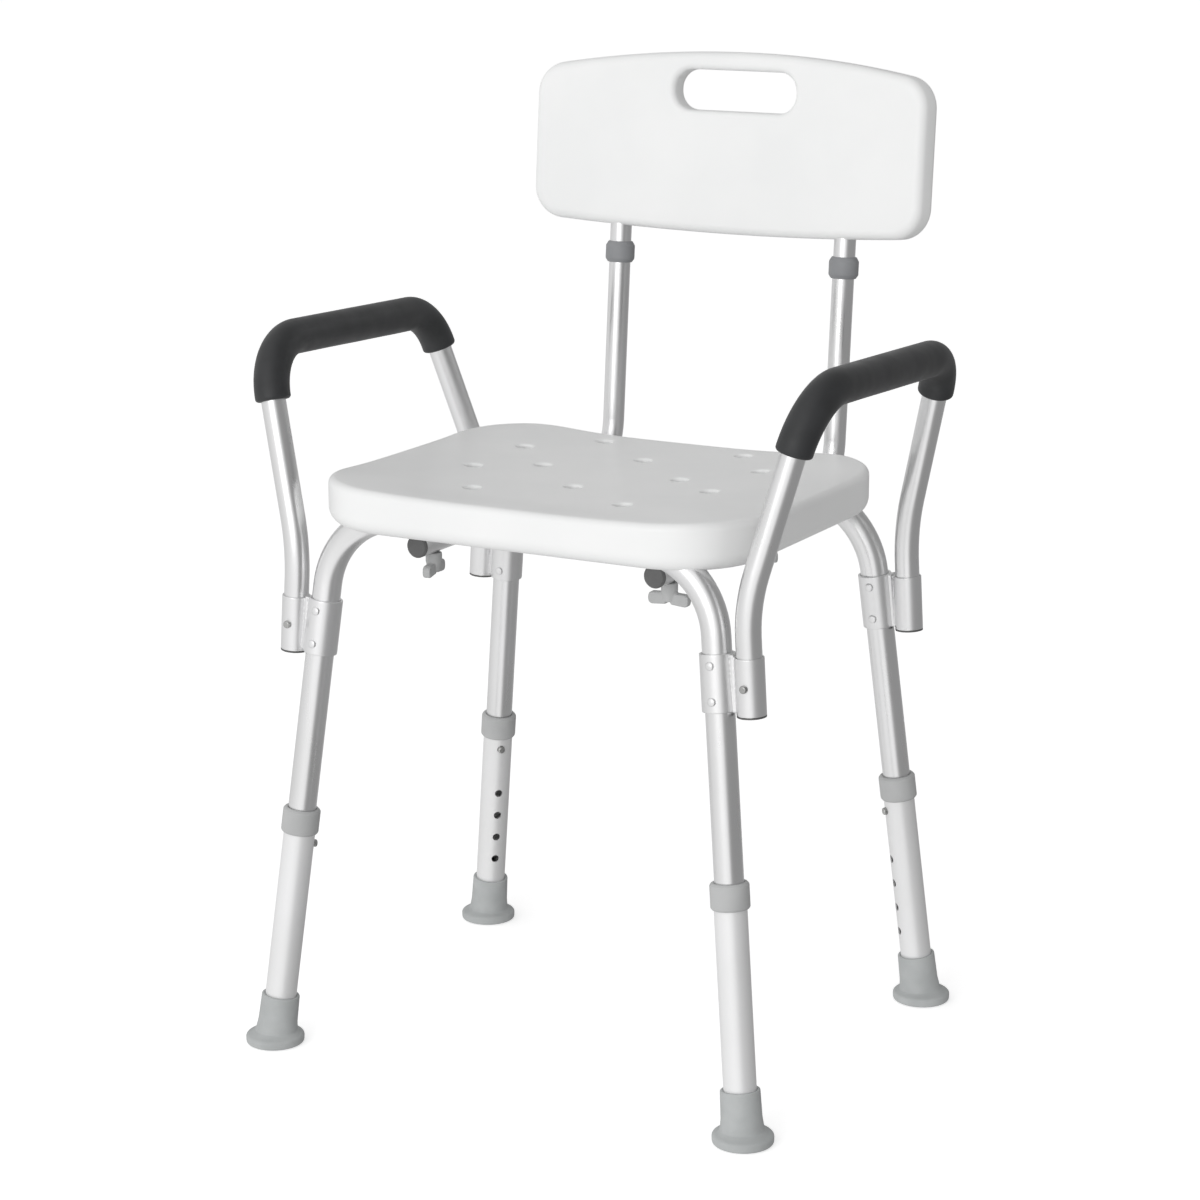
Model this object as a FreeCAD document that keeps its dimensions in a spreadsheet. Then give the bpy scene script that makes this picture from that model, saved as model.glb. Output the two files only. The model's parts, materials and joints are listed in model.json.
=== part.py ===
import FreeCAD, Part
import math
import os
import Sketcher

# Shower chair: moulded seat and backrest on two bent leg frames, telescoping legs with snap
# buttons, lift-out armrests with foam grips, and a lift-off backrest.
# Millimetres. +Z up, +X to the sitter's left hand, the sitter faces -Y.
# The origin is on the floor, under the middle of the whole chair. Left and right are as seen
# from the front, so "left" pieces lie on the -X side.

SIZES = {
    # stance: where the leg axes meet the floor, and how they lean
    "foot_spread_x": 478.4,
    "foot_spread_y": 384.2,
    "leg_splay": 6.1,
    "front_rake": 4.4,
    "rear_rake": 4.0,
    # tubes
    "upper_leg_od": 25.4,
    "upper_leg_wall": 1.4,
    "lower_leg_wall": 1.5,
    "back_tube_od": 20.5,
    "back_tube_wall": 1.4,
    "arm_tube_od": 22.2,
    "arm_tube_wall": 1.5,
    # fits
    "slide_gap": 0.08,
    "plug_gap": 0.05,
    # leg frames
    "front_rise": 497.5,
    "front_bend": 74.0,
    "rear_rise": 491.0,
    "rear_bend": 80.0,
    "insert_low": 148.0,
    # lower legs, measured along the leg from the floor
    "leg_bottom": 12.0,
    "leg_top": 224.0,
    "button_along": 192.6,
    "hole_pitch": 24.0,
    "collar_wall": 2.72,
    "collar_skirt": 21.0,
    "collar_lip": 2.4,
    "collar_chamfer": 2.2,
    # rubber tips
    "tip_top": 47.0,
    "tip_wall": 3.22,
    "tip_flare": 2.5,
    "tip_start": 6.0,
    "flange_od": 54.0,
    "flange_shoulder_od": 43.0,
    "flange_rim": 4.0,
    "flange_depth": 12.0,
    # snap buttons
    "button_od": 7.0,
    "button_clearance": 0.3,
    "button_proud": 3.2,
    "leaf_thick": 1.0,
    "leaf_width": 7.0,
    "leaf_inset": 2.2,
    "leaf_below": 19.0,
    "leaf_above": 13.0,
    # arm sockets
    "socket_low": 368.5,
    "socket_tall": 50.0,
    "sleeve_wall": 2.6,
    "barrel_wall": 1.6,
    "barrel_gap": 0.18,
    "front_barrel_y": 161.5,
    "rear_barrel_y": 168.0,
    "barrel_lean": 3.5,
    "web_thick": 13.0,
    "plug_flange": 1.2,
    "rivet_od": 4.8,
    "rivet_head_od": 8.0,
    "rivet_head": 1.6,
    "rivet_inset": 10.0,
    # armrests
    "arm_kink_up": 93.5,
    "arm_kink_bend": 165.0,
    "arm_front_bend": 55.0,
    "arm_rear_bend": 42.0,
    "arm_flare": 40.4,
    "arm_front_y": 140.0,
    "arm_rear_y": 135.0,
    "arm_front_z": 639.5,
    "arm_rear_z": 631.0,
    "grip_od": 32.5,
    "grip_front_z": 589.0,
    "grip_rear_z": 594.0,
    # seat
    "seat_width": 426.0,
    "seat_front": 183.0,
    "seat_rear": 170.0,
    "seat_low": 484.5,
    "seat_thick": 42.0,
    "seat_corner": 83.0,
    "seat_top_round": 8.0,
    "seat_low_round": 15.0,
    "side_dip": 6.0,
    "side_dip_reach": 172.0,
    "end_dip": 3.0,
    "end_dip_reach": 140.0,
    "drain_od": 16.0,
    "groove_gap": 0.3,
    # backrest tubes under the seat
    "rail_x": 118.5,
    "rail_clear": 1.05,
    "rail_front": 126.4,
    "rail_bend": 60.0,
    "post_recline": 4.6,
    "post_y_at_rail": 232.7,
    "post_top_z": 692.0,
    "rail_cap_thick": 3.0,
    "rail_cap_plug": 12.0,
    "back_collar_wall": 3.75,
    "back_collar_skirt": 18.0,
    "back_collar_lip": 2.2,
    "spigot_long": 55.0,
    "spigot_wall": 1.35,
    "back_button_down": 27.0,
    # clamp pads and wing bolts
    "clamp_front": 100.0,
    "clamp_rear": 97.0,
    "pad_width": 27.0,
    "pad_long": 36.0,
    "pad_hug": 5.0,
    "stud_od": 6.0,
    "insert_od": 9.0,
    "insert_long": 13.0,
    "knob_hub_od": 15.0,
    "knob_hub_tall": 8.0,
    "wing_span": 40.0,
    "wing_thick": 8.0,
    "wing_tall": 13.0,
    # seat and backrest screws
    "screw_od": 5.0,
    "screw_head_od": 9.5,
    "screw_head": 2.6,
    "screw_bite": 7.0,
    "screw_x": 78.0,
    "back_screw_od": 4.0,
    "back_screw_low": 40.0,
    "back_screw_step": 45.0,
    # backrest panel, measured up the posts from the top of the lower posts
    "panel_width": 409.0,
    "panel_low": 15.5,
    "panel_tall": 171.0,
    "panel_thick": 28.0,
    "panel_curve": 960.0,
    "panel_crown": 1050.0,
    "panel_belly": 2500.0,
    "panel_corner": 30.0,
    "panel_edge": 8.0,
    "post_bore_deep": 104.0,
    "slot_wide": 131.0,
    "slot_tall": 41.0,
    "slot_corner": 19.0,
    "slot_up": 134.5,
    "slot_edge": 5.0,
}

SIDES = {"left": -1, "right": 1}
ENDS = {"front": -1, "rear": 1}
LEG_HOLES = (0, 2, 3, 4, 5)
DRAINS = [(122, 69), (73, 135), (70, 12), (120, -28), (75, -105)]
DRAINS = [(side * x, y) for x, y in DRAINS for side in (-1, 1)] + [(0, 75), (0, -57)]
KNOB_TURNS = {"front_left": 100, "front_right": 0, "rear_left": 40, "rear_right": -50}
OVERRUN = 2.0

X_AXIS = FreeCAD.Vector(1, 0, 0)
Y_AXIS = FreeCAD.Vector(0, 1, 0)
Z_AXIS = FreeCAD.Vector(0, 0, 1)
ALONG_Y = FreeCAD.Rotation(X_AXIS, -90)
ALONG_X = FreeCAD.Rotation(Y_AXIS, 90)

doc = FreeCAD.newDocument("shower_chair")
sheet = doc.addObject("Spreadsheet::Sheet", "sizes")
for row, (alias, number) in enumerate(SIZES.items(), 1):
    sheet.set(f"A{row}", alias)
    sheet.set(f"B{row}", str(number))
    sheet.setAlias(f"B{row}", alias)
doc.recompute()


# ---------------------------------------------------------------- sizes as expressions

class Size:
    """A number together with the sheet expression that gives it."""

    def __init__(self, value, text):
        self.value = value
        self.text = text

    def __add__(self, other):
        other = as_size(other)
        return Size(self.value + other.value, f"({self.text} + {other.text})")

    def __sub__(self, other):
        other = as_size(other)
        return Size(self.value - other.value, f"({self.text} - {other.text})")

    def __mul__(self, other):
        other = as_size(other)
        return Size(self.value * other.value, f"({self.text} * {other.text})")

    def __truediv__(self, other):
        other = as_size(other)
        return Size(self.value / other.value, f"({self.text} / {other.text})")

    def __neg__(self):
        return Size(-self.value, f"(0 - {self.text})")

    def __radd__(self, other):
        return as_size(other) + self

    def __rsub__(self, other):
        return as_size(other) - self

    def __rmul__(self, other):
        return as_size(other) * self


def as_size(number):
    return number if isinstance(number, Size) else Size(float(number), f"{float(number):.6f}")


def size(alias):
    return Size(float(sheet.get(alias)), f"sizes.{alias}")


def tan(angle):
    return Size(math.tan(math.radians(angle.value)), f"tan({angle.text})")


def cos(angle):
    return Size(math.cos(math.radians(angle.value)), f"cos({angle.text})")


def root(square):
    return Size(math.sqrt(square.value), f"sqrt({square.text})")


def bind(thing, prop, number):
    number = as_size(number)
    thing.setExpression(prop, number.text)


def vector(*numbers):
    return FreeCAD.Vector(*[as_size(number).value for number in numbers])


# ---------------------------------------------------------------- primitives and booleans

def place(thing, base, rotation=FreeCAD.Rotation()):
    """Put a primitive at a bound point, turned by a fixed rotation."""
    thing.Placement = FreeCAD.Placement(vector(*base), rotation)
    for axis, number in zip("xyz", base):
        bind(thing, f"Placement.Base.{axis}", number)
    return thing


def cylinder(name, radius, height, base=(0, 0, 0), rotation=FreeCAD.Rotation()):
    thing = doc.addObject("Part::Cylinder", name)
    bind(thing, "Radius", radius)
    bind(thing, "Height", height)
    return place(thing, base, rotation)


def box(name, low, high):
    thing = doc.addObject("Part::Box", name)
    for prop, start, end in zip(("Length", "Width", "Height"), low, high):
        bind(thing, prop, as_size(end) - as_size(start))
    return place(thing, low)


def fuse(name, things):
    joined = doc.addObject("Part::MultiFuse", name)
    joined.Shapes = things
    joined.Refine = True
    return joined


def cut(name, base, tools):
    removed = doc.addObject("Part::Cut", name)
    removed.Base = base
    removed.Tool = tools[0] if len(tools) == 1 else fuse(f"{name}_tools", tools)
    return removed


def common(name, things):
    shared = doc.addObject("Part::MultiCommon", name)
    shared.Shapes = things
    return shared


def moved(thing, placement):
    """Set a finished compound feature down at a placement."""
    thing.Placement = placement
    return thing


def rounded(name, base, radius, wanted):
    """Fillet the edges of base that the test function picks."""
    doc.recompute()
    edges = [number for number, edge in enumerate(base.Shape.Edges, 1) if wanted(edge)]
    if not edges:
        raise RuntimeError(f"{name}: no edge to round")
    fillet = doc.addObject("Part::Fillet", name)
    fillet.Base = base
    fillet.Edges = [(number, radius.value, radius.value) for number in edges]
    return fillet


# ---------------------------------------------------------------- sketched bodies

def origin_plane(body, role):
    return next(part for part in body.Origin.OriginFeatures if part.Role == role)


def new_sketch(body, name, role):
    sketch = body.newObject("Sketcher::SketchObject", name)
    sketch.AttachmentSupport = [(origin_plane(body, role), "")]
    sketch.MapMode = "FlatFace"
    return sketch


def bind_datum(sketch, constraint, number):
    index = sketch.addConstraint(constraint)
    sketch.setExpression(f"Constraints[{index}]", as_size(number).text)


def pin_point(sketch, geometry, end, x, y):
    """Tie one sketch point to bound coordinates."""
    for kind, number, axis in (("DistanceX", as_size(x), -2), ("DistanceY", as_size(y), -1)):
        if number.value == 0:
            sketch.addConstraint(Sketcher.Constraint("PointOnObject", geometry, end, axis))
        else:
            constraint = Sketcher.Constraint(kind, -1, 1, geometry, end, number.value)
            bind_datum(sketch, constraint, number)


def outline(sketch, corners):
    """Draw a closed polygon whose corners are bound."""
    points = [vector(x, y, 0) for x, y in corners]
    count = len(points)
    for index in range(count):
        sketch.addGeometry(Part.LineSegment(points[index], points[(index + 1) % count]))
    for index in range(count):
        follower = (index + 1) % count
        sketch.addConstraint(Sketcher.Constraint("Coincident", index, 2, follower, 1))
    for index, (x, y) in enumerate(corners):
        pin_point(sketch, index, 1, x, y)


def turned(name, corners):
    """Revolve an outline of (radius, height) corners about the body's Z axis."""
    body = doc.addObject("PartDesign::Body", name)
    sketch = new_sketch(body, f"{name}_profile", "XZ_Plane")
    outline(sketch, corners)
    doc.recompute()
    turn = body.newObject("PartDesign::Revolution", f"{name}_turn")
    turn.Profile = sketch
    turn.ReferenceAxis = (sketch, ["V_Axis"])
    turn.Angle = 360
    return body


def spine(body, name, role, corners, bend):
    """Draw a path of straight runs joined by tangent arcs inside bound corners."""
    sketch = new_sketch(body, name, role)
    points = [vector(x, y, 0) for x, y in corners]
    last = len(points) - 2
    for start, end in zip(points, points[1:]):
        sketch.addGeometry(Part.LineSegment(start, end), True)
    for guide in range(last):
        sketch.addConstraint(Sketcher.Constraint("Coincident", guide, 2, guide + 1, 1))
    for guide in range(last + 1):
        pin_point(sketch, guide, 1, *corners[guide])
    pin_point(sketch, last, 2, *corners[-1])
    runs = []
    arcs = []
    here = points[0]
    for before, corner, after in zip(points, points[1:], points[2:]):
        back = (before - corner).normalize()
        ahead = (after - corner).normalize()
        half = back.getAngle(ahead) / 2
        reach = bend.value / math.tan(half)
        middle = corner + (back + ahead).normalize() * (bend.value / math.sin(half) - bend.value)
        runs.append(sketch.addGeometry(Part.LineSegment(here, corner + back * reach)))
        arcs.append(sketch.addGeometry(Part.Arc(corner + back * reach, middle, corner + ahead * reach)))
        here = corner + ahead * reach
    runs.append(sketch.addGeometry(Part.LineSegment(here, points[-1])))
    sketch.addConstraint(Sketcher.Constraint("Coincident", runs[0], 1, 0, 1))
    sketch.addConstraint(Sketcher.Constraint("Coincident", runs[-1], 2, last, 2))
    for guide, run in enumerate(runs):
        if guide > 0:
            sketch.addConstraint(Sketcher.Constraint("PointOnObject", run, 1, guide))
        if guide < last:
            sketch.addConstraint(Sketcher.Constraint("PointOnObject", run, 2, guide))
    for index, arc in enumerate(arcs):
        for run, end in ((runs[index], 2), (runs[index + 1], 1)):
            touch = sketch.getPoint(run, end)
            arc_end = 1 if (sketch.getPoint(arc, 1) - touch).Length < 1e-6 else 2
            sketch.addConstraint(Sketcher.Constraint("Tangent", run, end, arc, arc_end))
        bind_datum(sketch, Sketcher.Constraint("Radius", arc, bend.value), bend)
    return sketch


def bent_tube(name, path_role, ring_role, corners, bend, outer, inner):
    """Sweep a ring, drawn where the path starts, along a bound path in one plane."""
    body = doc.addObject("PartDesign::Body", name)
    path = spine(body, f"{name}_path", path_role, corners, bend)
    ring = new_sketch(body, f"{name}_ring", ring_role)
    start_height = corners[0][1]
    for radius in (outer, inner):
        circle = Part.Circle(vector(0, start_height, 0), Z_AXIS, radius.value)
        index = ring.addGeometry(circle)
        pin_point(ring, index, 3, 0, start_height)
        bind_datum(ring, Sketcher.Constraint("Radius", index, radius.value), radius)
    doc.recompute()
    pipe = body.newObject("PartDesign::AdditivePipe", f"{name}_pipe")
    pipe.Profile = ring
    pipe.Spine = (path, [])
    doc.recompute()
    return body, pipe


def mirrored(body, feature, role):
    mirror = body.newObject("PartDesign::Mirrored", f"{body.Name}_mirror")
    mirror.Originals = [feature]
    mirror.MirrorPlane = (origin_plane(body, role), [""])
    body.Tip = mirror
    doc.recompute()
    return body


# ---------------------------------------------------------------- pieces

pieces = []


def piece(label, thing):
    """Name a finished sub-part, which is written under this name."""
    thing.Label = label
    pieces.append(thing)
    return thing


def group(label, things):
    """One sub-part made of identical separate solids."""
    cluster = doc.addObject("Part::Compound", label)
    cluster.Links = things
    return piece(label, cluster)


# Values that several pieces share.
upper_radius = size("upper_leg_od") / 2
lower_bore = upper_radius + size("slide_gap")
lower_radius = lower_bore + size("lower_leg_wall")
back_radius = size("back_tube_od") / 2
arm_radius = size("arm_tube_od") / 2
sleeve_radius = upper_radius + size("plug_gap") + size("sleeve_wall")
barrel_bore = arm_radius + size("plug_gap")
barrel_radius = barrel_bore + size("barrel_wall")
button_radius = size("button_od") / 2
button_hole = button_radius + size("button_clearance")
foot_x = size("foot_spread_x") / 2
foot_y = size("foot_spread_y") / 2
rail_z = size("rear_rise") - upper_radius - back_radius - size("rail_clear")
leg_x_at_socket = foot_x - size("socket_low") * tan(size("leg_splay"))
barrel_x = leg_x_at_socket + sleeve_radius + barrel_radius + size("barrel_gap")


def rake(end):
    """How far the front or the rear pair of legs leans along Y."""
    return size("front_rake") if end < 0 else size("rear_rake")


def rise(end):
    """The height of a leg frame's level run."""
    return size("front_rise") if end < 0 else size("rear_rise")


def shoulder_bend(end):
    return size("front_bend") if end < 0 else size("rear_bend")


def leg_direction(side, end):
    lean_x = tan(size("leg_splay")).value
    lean_y = tan(rake(end)).value
    return FreeCAD.Vector(-side * lean_x, -end * lean_y, 1)


def leg_point(side, end, height):
    """The leg axis at a height above the floor."""
    return vector(side * foot_x, end * foot_y, 0) + leg_direction(side, end) * height


def facing(base, up, front):
    """A placement whose Z runs along up and whose X leans towards front."""
    up = FreeCAD.Vector(up).normalize()
    across = up.cross(front).normalize()
    rotation = FreeCAD.Rotation(across.cross(up), across, up, "ZXY")
    return FreeCAD.Placement(base, rotation)


def leg_place(side, end):
    """Z up the leg from the floor, X diagonally towards the middle of the chair."""
    inward = FreeCAD.Vector(-side, -end, 0)
    return facing(leg_point(side, end, 0), leg_direction(side, end), inward)


def barrel_direction(side):
    return FreeCAD.Vector(-side * tan(size("barrel_lean")).value, 0, 1)


def barrel_place(side, end):
    """Z up the arm barrel from its bottom edge, X out of the chair's front or rear."""
    reach = size("front_barrel_y") if end < 0 else size("rear_barrel_y")
    base = vector(side * barrel_x, end * reach, size("socket_low"))
    return facing(base, barrel_direction(side), FreeCAD.Vector(0, end, 0))


def post_place(side=0):
    """Z up a backrest post from the top of the lower post, X to the rear."""
    recline = size("post_recline")
    rise = size("post_top_z") - rail_z
    y = size("post_y_at_rail") + rise * tan(recline)
    base = vector(side * size("rail_x"), y, size("post_top_z"))
    up = FreeCAD.Vector(0, tan(recline).value, 1)
    return facing(base, up, FreeCAD.Vector(0, 1, 0))


def snap_button(label, placement, bore, outer, along):
    """A round button on one leaf of a spring clip, popped out along X at a height."""
    stem = bore - size("leaf_inset")
    length = outer + size("button_proud") - stem
    pin = cylinder(f"{label}_pin", button_radius, length, (stem, 0, along), ALONG_X)
    dome = rounded(f"{label}_dome", pin, button_radius * 0.45, is_far_rim(stem + length))
    half = size("leaf_width") / 2
    low = (stem - size("leaf_thick"), -half, along - size("leaf_below"))
    high = (stem, half, along + size("leaf_above"))
    leaf = box(f"{label}_leaf", low, high)
    return piece(label, moved(fuse(f"{label}_clip", [dome, leaf]), placement))


def is_far_rim(reach):
    """Picks the circular edge round the outer end of a button lying along X."""
    def wanted(edge):
        bounds = edge.BoundBox
        return bounds.XLength < 1e-3 and abs(bounds.XMin - reach.value) < 1e-3
    return wanted


def snap_travel(outer, sliding_bore):
    """How far a button is pressed to clear the bore that it locks in."""
    return outer + size("button_proud") - sliding_bore + size("button_clearance")


def snap_spring(name, placement, bore, travel, along):
    """The fixed leaf and the foot of a spring clip, behind the moving leaf."""
    half = size("leaf_width") / 2
    thick = size("leaf_thick")
    back = 1 - bore
    floor = along - size("leaf_below") - 2 * thick
    reach = bore - size("leaf_inset") - thick - travel - 0.4 * thick
    leaf = box(f"{name}_leaf", (back, -half, floor), (back + thick, half, along + size("leaf_above")))
    foot = box(f"{name}_foot", (back, -half, floor), (reach, half, floor + thick))
    return moved(fuse(name, [leaf, foot]), placement)


# ---------------------------------------------------------------- legs

def rivet_places(side, end):
    """Two rivets through a sleeve and its leg, front to back."""
    low = size("socket_low").value
    inset = size("rivet_inset").value
    for height in (low + inset, low + size("socket_tall").value - inset):
        yield facing(leg_point(side, end, height), leg_direction(side, end), FreeCAD.Vector(0, -1, 0))


def leg_frame(end_name):
    """One bent tube: two legs and the run that carries the seat."""
    end = ENDS[end_name]
    shortening = cos(rake(end))
    slope = tan(size("leg_splay")) * shortening
    top = rise(end) / shortening
    low = size("insert_low") / shortening
    corners = [(0, top), (foot_x - top * slope, top), (foot_x - low * slope, low)]
    inner = upper_radius - size("upper_leg_wall")
    name = f"{end_name}_frame"
    tube = bent_tube(name, "XZ_Plane", "YZ_Plane", corners, shoulder_bend(end), upper_radius, inner)
    body = mirrored(*tube, "YZ_Plane")
    tilt = FreeCAD.Rotation(X_AXIS, end * rake(end).value)
    place(body, (0, end * foot_y, 0), tilt)
    tools = []
    for side_name, side in SIDES.items():
        name = f"{end_name}_{side_name}"
        hole = cylinder(f"{name}_lock", button_hole, upper_radius * 1.5, (0, 0, 0), ALONG_X)
        start = leg_place(side, end).multVec(vector(0, 0, size("button_along")))
        hole.Placement = FreeCAD.Placement(start, leg_place(side, end).Rotation * ALONG_X)
        tools.append(clear_expressions(hole))
        for number, spot in enumerate(rivet_places(side, end)):
            tools.append(rivet_bore(f"{name}_frame_rivet{number}", spot))
        tools.append(seat_screw_bore(f"{name}_screw_way", side, end))
    return piece(f"{end_name}_leg_frame", cut(f"{end_name}_frame_drilled", body, tools))


def clear_expressions(thing):
    """Drop the bound base of a primitive that has been set down at a leaning placement."""
    placement = thing.Placement
    for axis in "xyz":
        thing.setExpression(f"Placement.Base.{axis}", None)
    thing.Placement = placement
    return thing


def leaning(thing, placement):
    """Carry a primitive from its own frame into a leaning one."""
    own = thing.Placement
    clear_expressions(thing)
    thing.Placement = placement * own
    return thing


def rivet_bore(name, spot):
    reach = sleeve_radius + OVERRUN
    bore = size("rivet_od") / 2 + size("plug_gap")
    return leaning(cylinder(name, bore, reach * 2, (-reach, 0, 0), ALONG_X), spot)


def run_height(end):
    """Where the level run of a leg frame crosses the seat."""
    return vector(0, end * (foot_y - rise(end) * tan(rake(end))), rise(end))


def seat_screw_bore(name, side, end):
    base = run_height(end)
    low = rise(end) - upper_radius - OVERRUN
    height = upper_radius * 2 + size("screw_bite") + OVERRUN
    bore = size("screw_od") / 2 + size("plug_gap")
    return cylinder(name, bore, height, (side * size("screw_x"), base.y, low))


def lower_leg(corner, side, end):
    """The outer tube with its row of lock holes."""
    along = size("button_along")
    length = size("leg_top") - size("leg_bottom")
    tube = cylinder(f"{corner}_tube", lower_radius, length, (0, 0, size("leg_bottom")))
    tools = [cylinder(f"{corner}_bore", lower_bore, length, (0, 0, size("leg_bottom")))]
    for step in LEG_HOLES:
        start = (0, 0, along - step * size("hole_pitch"))
        tools.append(cylinder(f"{corner}_hole{step}", button_hole, lower_radius * 1.5, start, ALONG_X))
    piece(f"{corner}_lower_leg", moved(cut(f"{corner}_leg", tube, tools), leg_place(side, end)))


def leg_collar(corner, side, end):
    """A plastic ring over the mouth of the lower leg."""
    wide = lower_radius + size("collar_wall")
    chamfer = size("collar_chamfer")
    grip = lower_radius + size("plug_gap")
    mouth = upper_radius + size("slide_gap")
    skirt = -size("collar_skirt")
    lip = size("collar_lip")
    corners = [
        (grip, skirt), (wide - chamfer, skirt), (wide, skirt + chamfer), (wide, lip - chamfer),
        (wide - chamfer, lip), (mouth, lip), (mouth, 0), (grip, 0),
    ]
    collar = turned(f"{corner}_collar", corners)
    top = leg_place(side, end).multVec(vector(0, 0, size("leg_top")))
    collar.Placement = FreeCAD.Placement(top, leg_place(side, end).Rotation)
    piece(f"{corner}_leg_collar", collar)


def rubber_tip(corner, side, end):
    """A leaning rubber sleeve on a flat flange that lies on the floor."""
    bottom = size("leg_bottom")
    wide = lower_radius + size("tip_wall")
    sleeve = turned(f"{corner}_sleeve", [
        (0, size("tip_start")), (wide + size("tip_flare"), size("tip_start")),
        (wide, bottom * 2), (wide, size("tip_top")), (0, size("tip_top")),
    ])
    sleeve.Placement = leg_place(side, end)
    flange = turned(f"{corner}_flange", [
        (0, 0), (size("flange_od") / 2, 0), (size("flange_od") / 2, size("flange_rim")),
        (size("flange_shoulder_od") / 2, size("flange_depth")), (0, size("flange_depth")),
    ])
    place(flange, (side * foot_x, end * foot_y, 0))
    joined = fuse(f"{corner}_tip_solid", [sleeve, flange])
    bore = lower_radius + size("plug_gap")
    height = size("tip_top") - bottom + OVERRUN
    socket = leaning(cylinder(f"{corner}_tip_bore", bore, height, (0, 0, bottom)), leg_place(side, end))
    piece(f"{corner}_rubber_tip", cut(f"{corner}_tip", joined, [socket]))


def legs():
    springs = []
    inner = upper_radius - size("upper_leg_wall")
    travel = snap_travel(lower_radius, lower_bore)
    for end_name, end in ENDS.items():
        leg_frame(end_name)
        for side_name, side in SIDES.items():
            corner = f"{end_name}_{side_name}"
            spot = leg_place(side, end)
            along = size("button_along")
            lower_leg(corner, side, end)
            leg_collar(corner, side, end)
            rubber_tip(corner, side, end)
            snap_button(f"{corner}_leg_button", spot, inner, lower_radius, along)
            springs.append(snap_spring(f"{corner}_leg_clip", spot, inner, travel, along))
    group("leg_button_springs", springs)


# ---------------------------------------------------------------- arm sockets and armrests

def arm_socket(corner, side, end):
    """A sleeve riveted to the leg and a barrel for the armrest, with a web between."""
    tall = size("socket_tall")
    low = size("socket_low")
    leg = facing(leg_point(side, end, low.value), leg_direction(side, end), X_AXIS)
    barrel = barrel_place(side, end)
    sleeve = leaning(cylinder(f"{corner}_sleeve_wall", sleeve_radius, tall), leg)
    shell = leaning(cylinder(f"{corner}_barrel_wall", barrel_radius, tall), barrel)
    gap = barrel.Base - leg.Base
    web = doc.addObject("Part::Box", f"{corner}_web")
    web.Length = gap.Length
    bind(web, "Width", size("web_thick"))
    bind(web, "Height", tall)
    middle = leg_direction(side, end).normalize() + barrel_direction(side).normalize()
    spot = FreeCAD.Placement(leg.Base, FreeCAD.Rotation(gap, middle.cross(gap), middle, "XZY"))
    web.Placement = spot * FreeCAD.Placement(vector(0, -size("web_thick") / 2, 0), FreeCAD.Rotation())
    solid = fuse(f"{corner}_socket_solid", [sleeve, shell, web])
    start = (0, 0, -4 * OVERRUN)
    deep = tall + 8 * OVERRUN
    lock_at = (0, 0, tall / 2)
    lock_reach = barrel_radius * 1.5
    tools = [
        leaning(cylinder(f"{corner}_leg_way", upper_radius + size("plug_gap"), deep, start), leg),
        leaning(cylinder(f"{corner}_arm_way", barrel_bore, deep, start), barrel),
        leaning(cylinder(f"{corner}_arm_lock", button_hole, lock_reach, lock_at, ALONG_X), barrel),
    ]
    for number, spot in enumerate(rivet_places(side, end)):
        tools.append(rivet_bore(f"{corner}_socket_rivet{number}", spot))
    piece(f"{corner}_arm_socket", cut(f"{corner}_socket", solid, tools))


def socket_plug(corner, side, end):
    """A plug that closes the bottom of an arm barrel, with a thin flange below it."""
    radius = barrel_bore - size("plug_gap")
    flange = size("plug_flange")
    solid = fuse(f"{corner}_plug", [
        cylinder(f"{corner}_plug_body", radius, flange + size("leaf_thick") * 2, (0, 0, -flange)),
        cylinder(f"{corner}_plug_flange", barrel_radius - size("plug_gap"), flange, (0, 0, -flange)),
    ])
    return moved(solid, barrel_place(side, end))


def rivets(corner, side, end):
    made = []
    for number, spot in enumerate(rivet_places(side, end)):
        name = f"{corner}_rivet{number}"
        reach = sleeve_radius + size("plug_gap")
        head = size("rivet_head")
        shank = cylinder(f"{name}_shank", size("rivet_od") / 2, reach * 2, (-reach, 0, 0), ALONG_X)
        heads = [
            cylinder(f"{name}_head", size("rivet_head_od") / 2, head, (reach, 0, 0), ALONG_X),
            cylinder(f"{name}_tail", size("rivet_head_od") / 2, head, (-reach - head, 0, 0), ALONG_X),
        ]
        made.append(moved(fuse(name, [shank] + heads), spot))
    return made


def smooth_path(points, bends):
    """Straight runs joined by tangent arcs, one bend radius for each inner point."""
    edges = []
    here = points[0]
    for before, corner, after, bend in zip(points, points[1:], points[2:], bends):
        back = (before - corner).normalize()
        ahead = (after - corner).normalize()
        half = back.getAngle(ahead) / 2
        reach = bend / math.tan(half)
        middle = corner + (back + ahead).normalize() * (bend / math.sin(half) - bend)
        edges.append(Part.LineSegment(here, corner + back * reach).toShape())
        edges.append(Part.Arc(corner + back * reach, middle, corner + ahead * reach).toShape())
        here = corner + ahead * reach
    edges.append(Part.LineSegment(here, points[-1]).toShape())
    return Part.Wire(edges)


def swept_rod(path, radius):
    start = path.Edges[0]
    circle = Part.Circle(start.Vertexes[0].Point, start.tangentAt(start.FirstParameter), radius)
    return path.makePipeShell([Part.Wire([circle.toShape()])], True, False)


def arm_corners(side):
    """Corner points of the armrest tube, front barrel to rear barrel."""
    plug = size("leaf_thick").value * 2 + size("plug_gap").value
    kink = size("arm_kink_up").value
    up = barrel_direction(side)
    front = barrel_place(side, ENDS["front"]).Base
    rear = barrel_place(side, ENDS["rear"]).Base
    corner_x = side * (barrel_x + size("arm_flare"))
    front_top = vector(corner_x, -size("arm_front_y"), size("arm_front_z"))
    rear_top = vector(corner_x, size("arm_rear_y"), size("arm_rear_z"))
    return [front + up * plug, front + up * kink, front_top, rear_top, rear + up * kink, rear + up * plug]


def at_height(low, high, height):
    return low + (high - low) * ((height - low.z) / (high.z - low.z))


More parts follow.
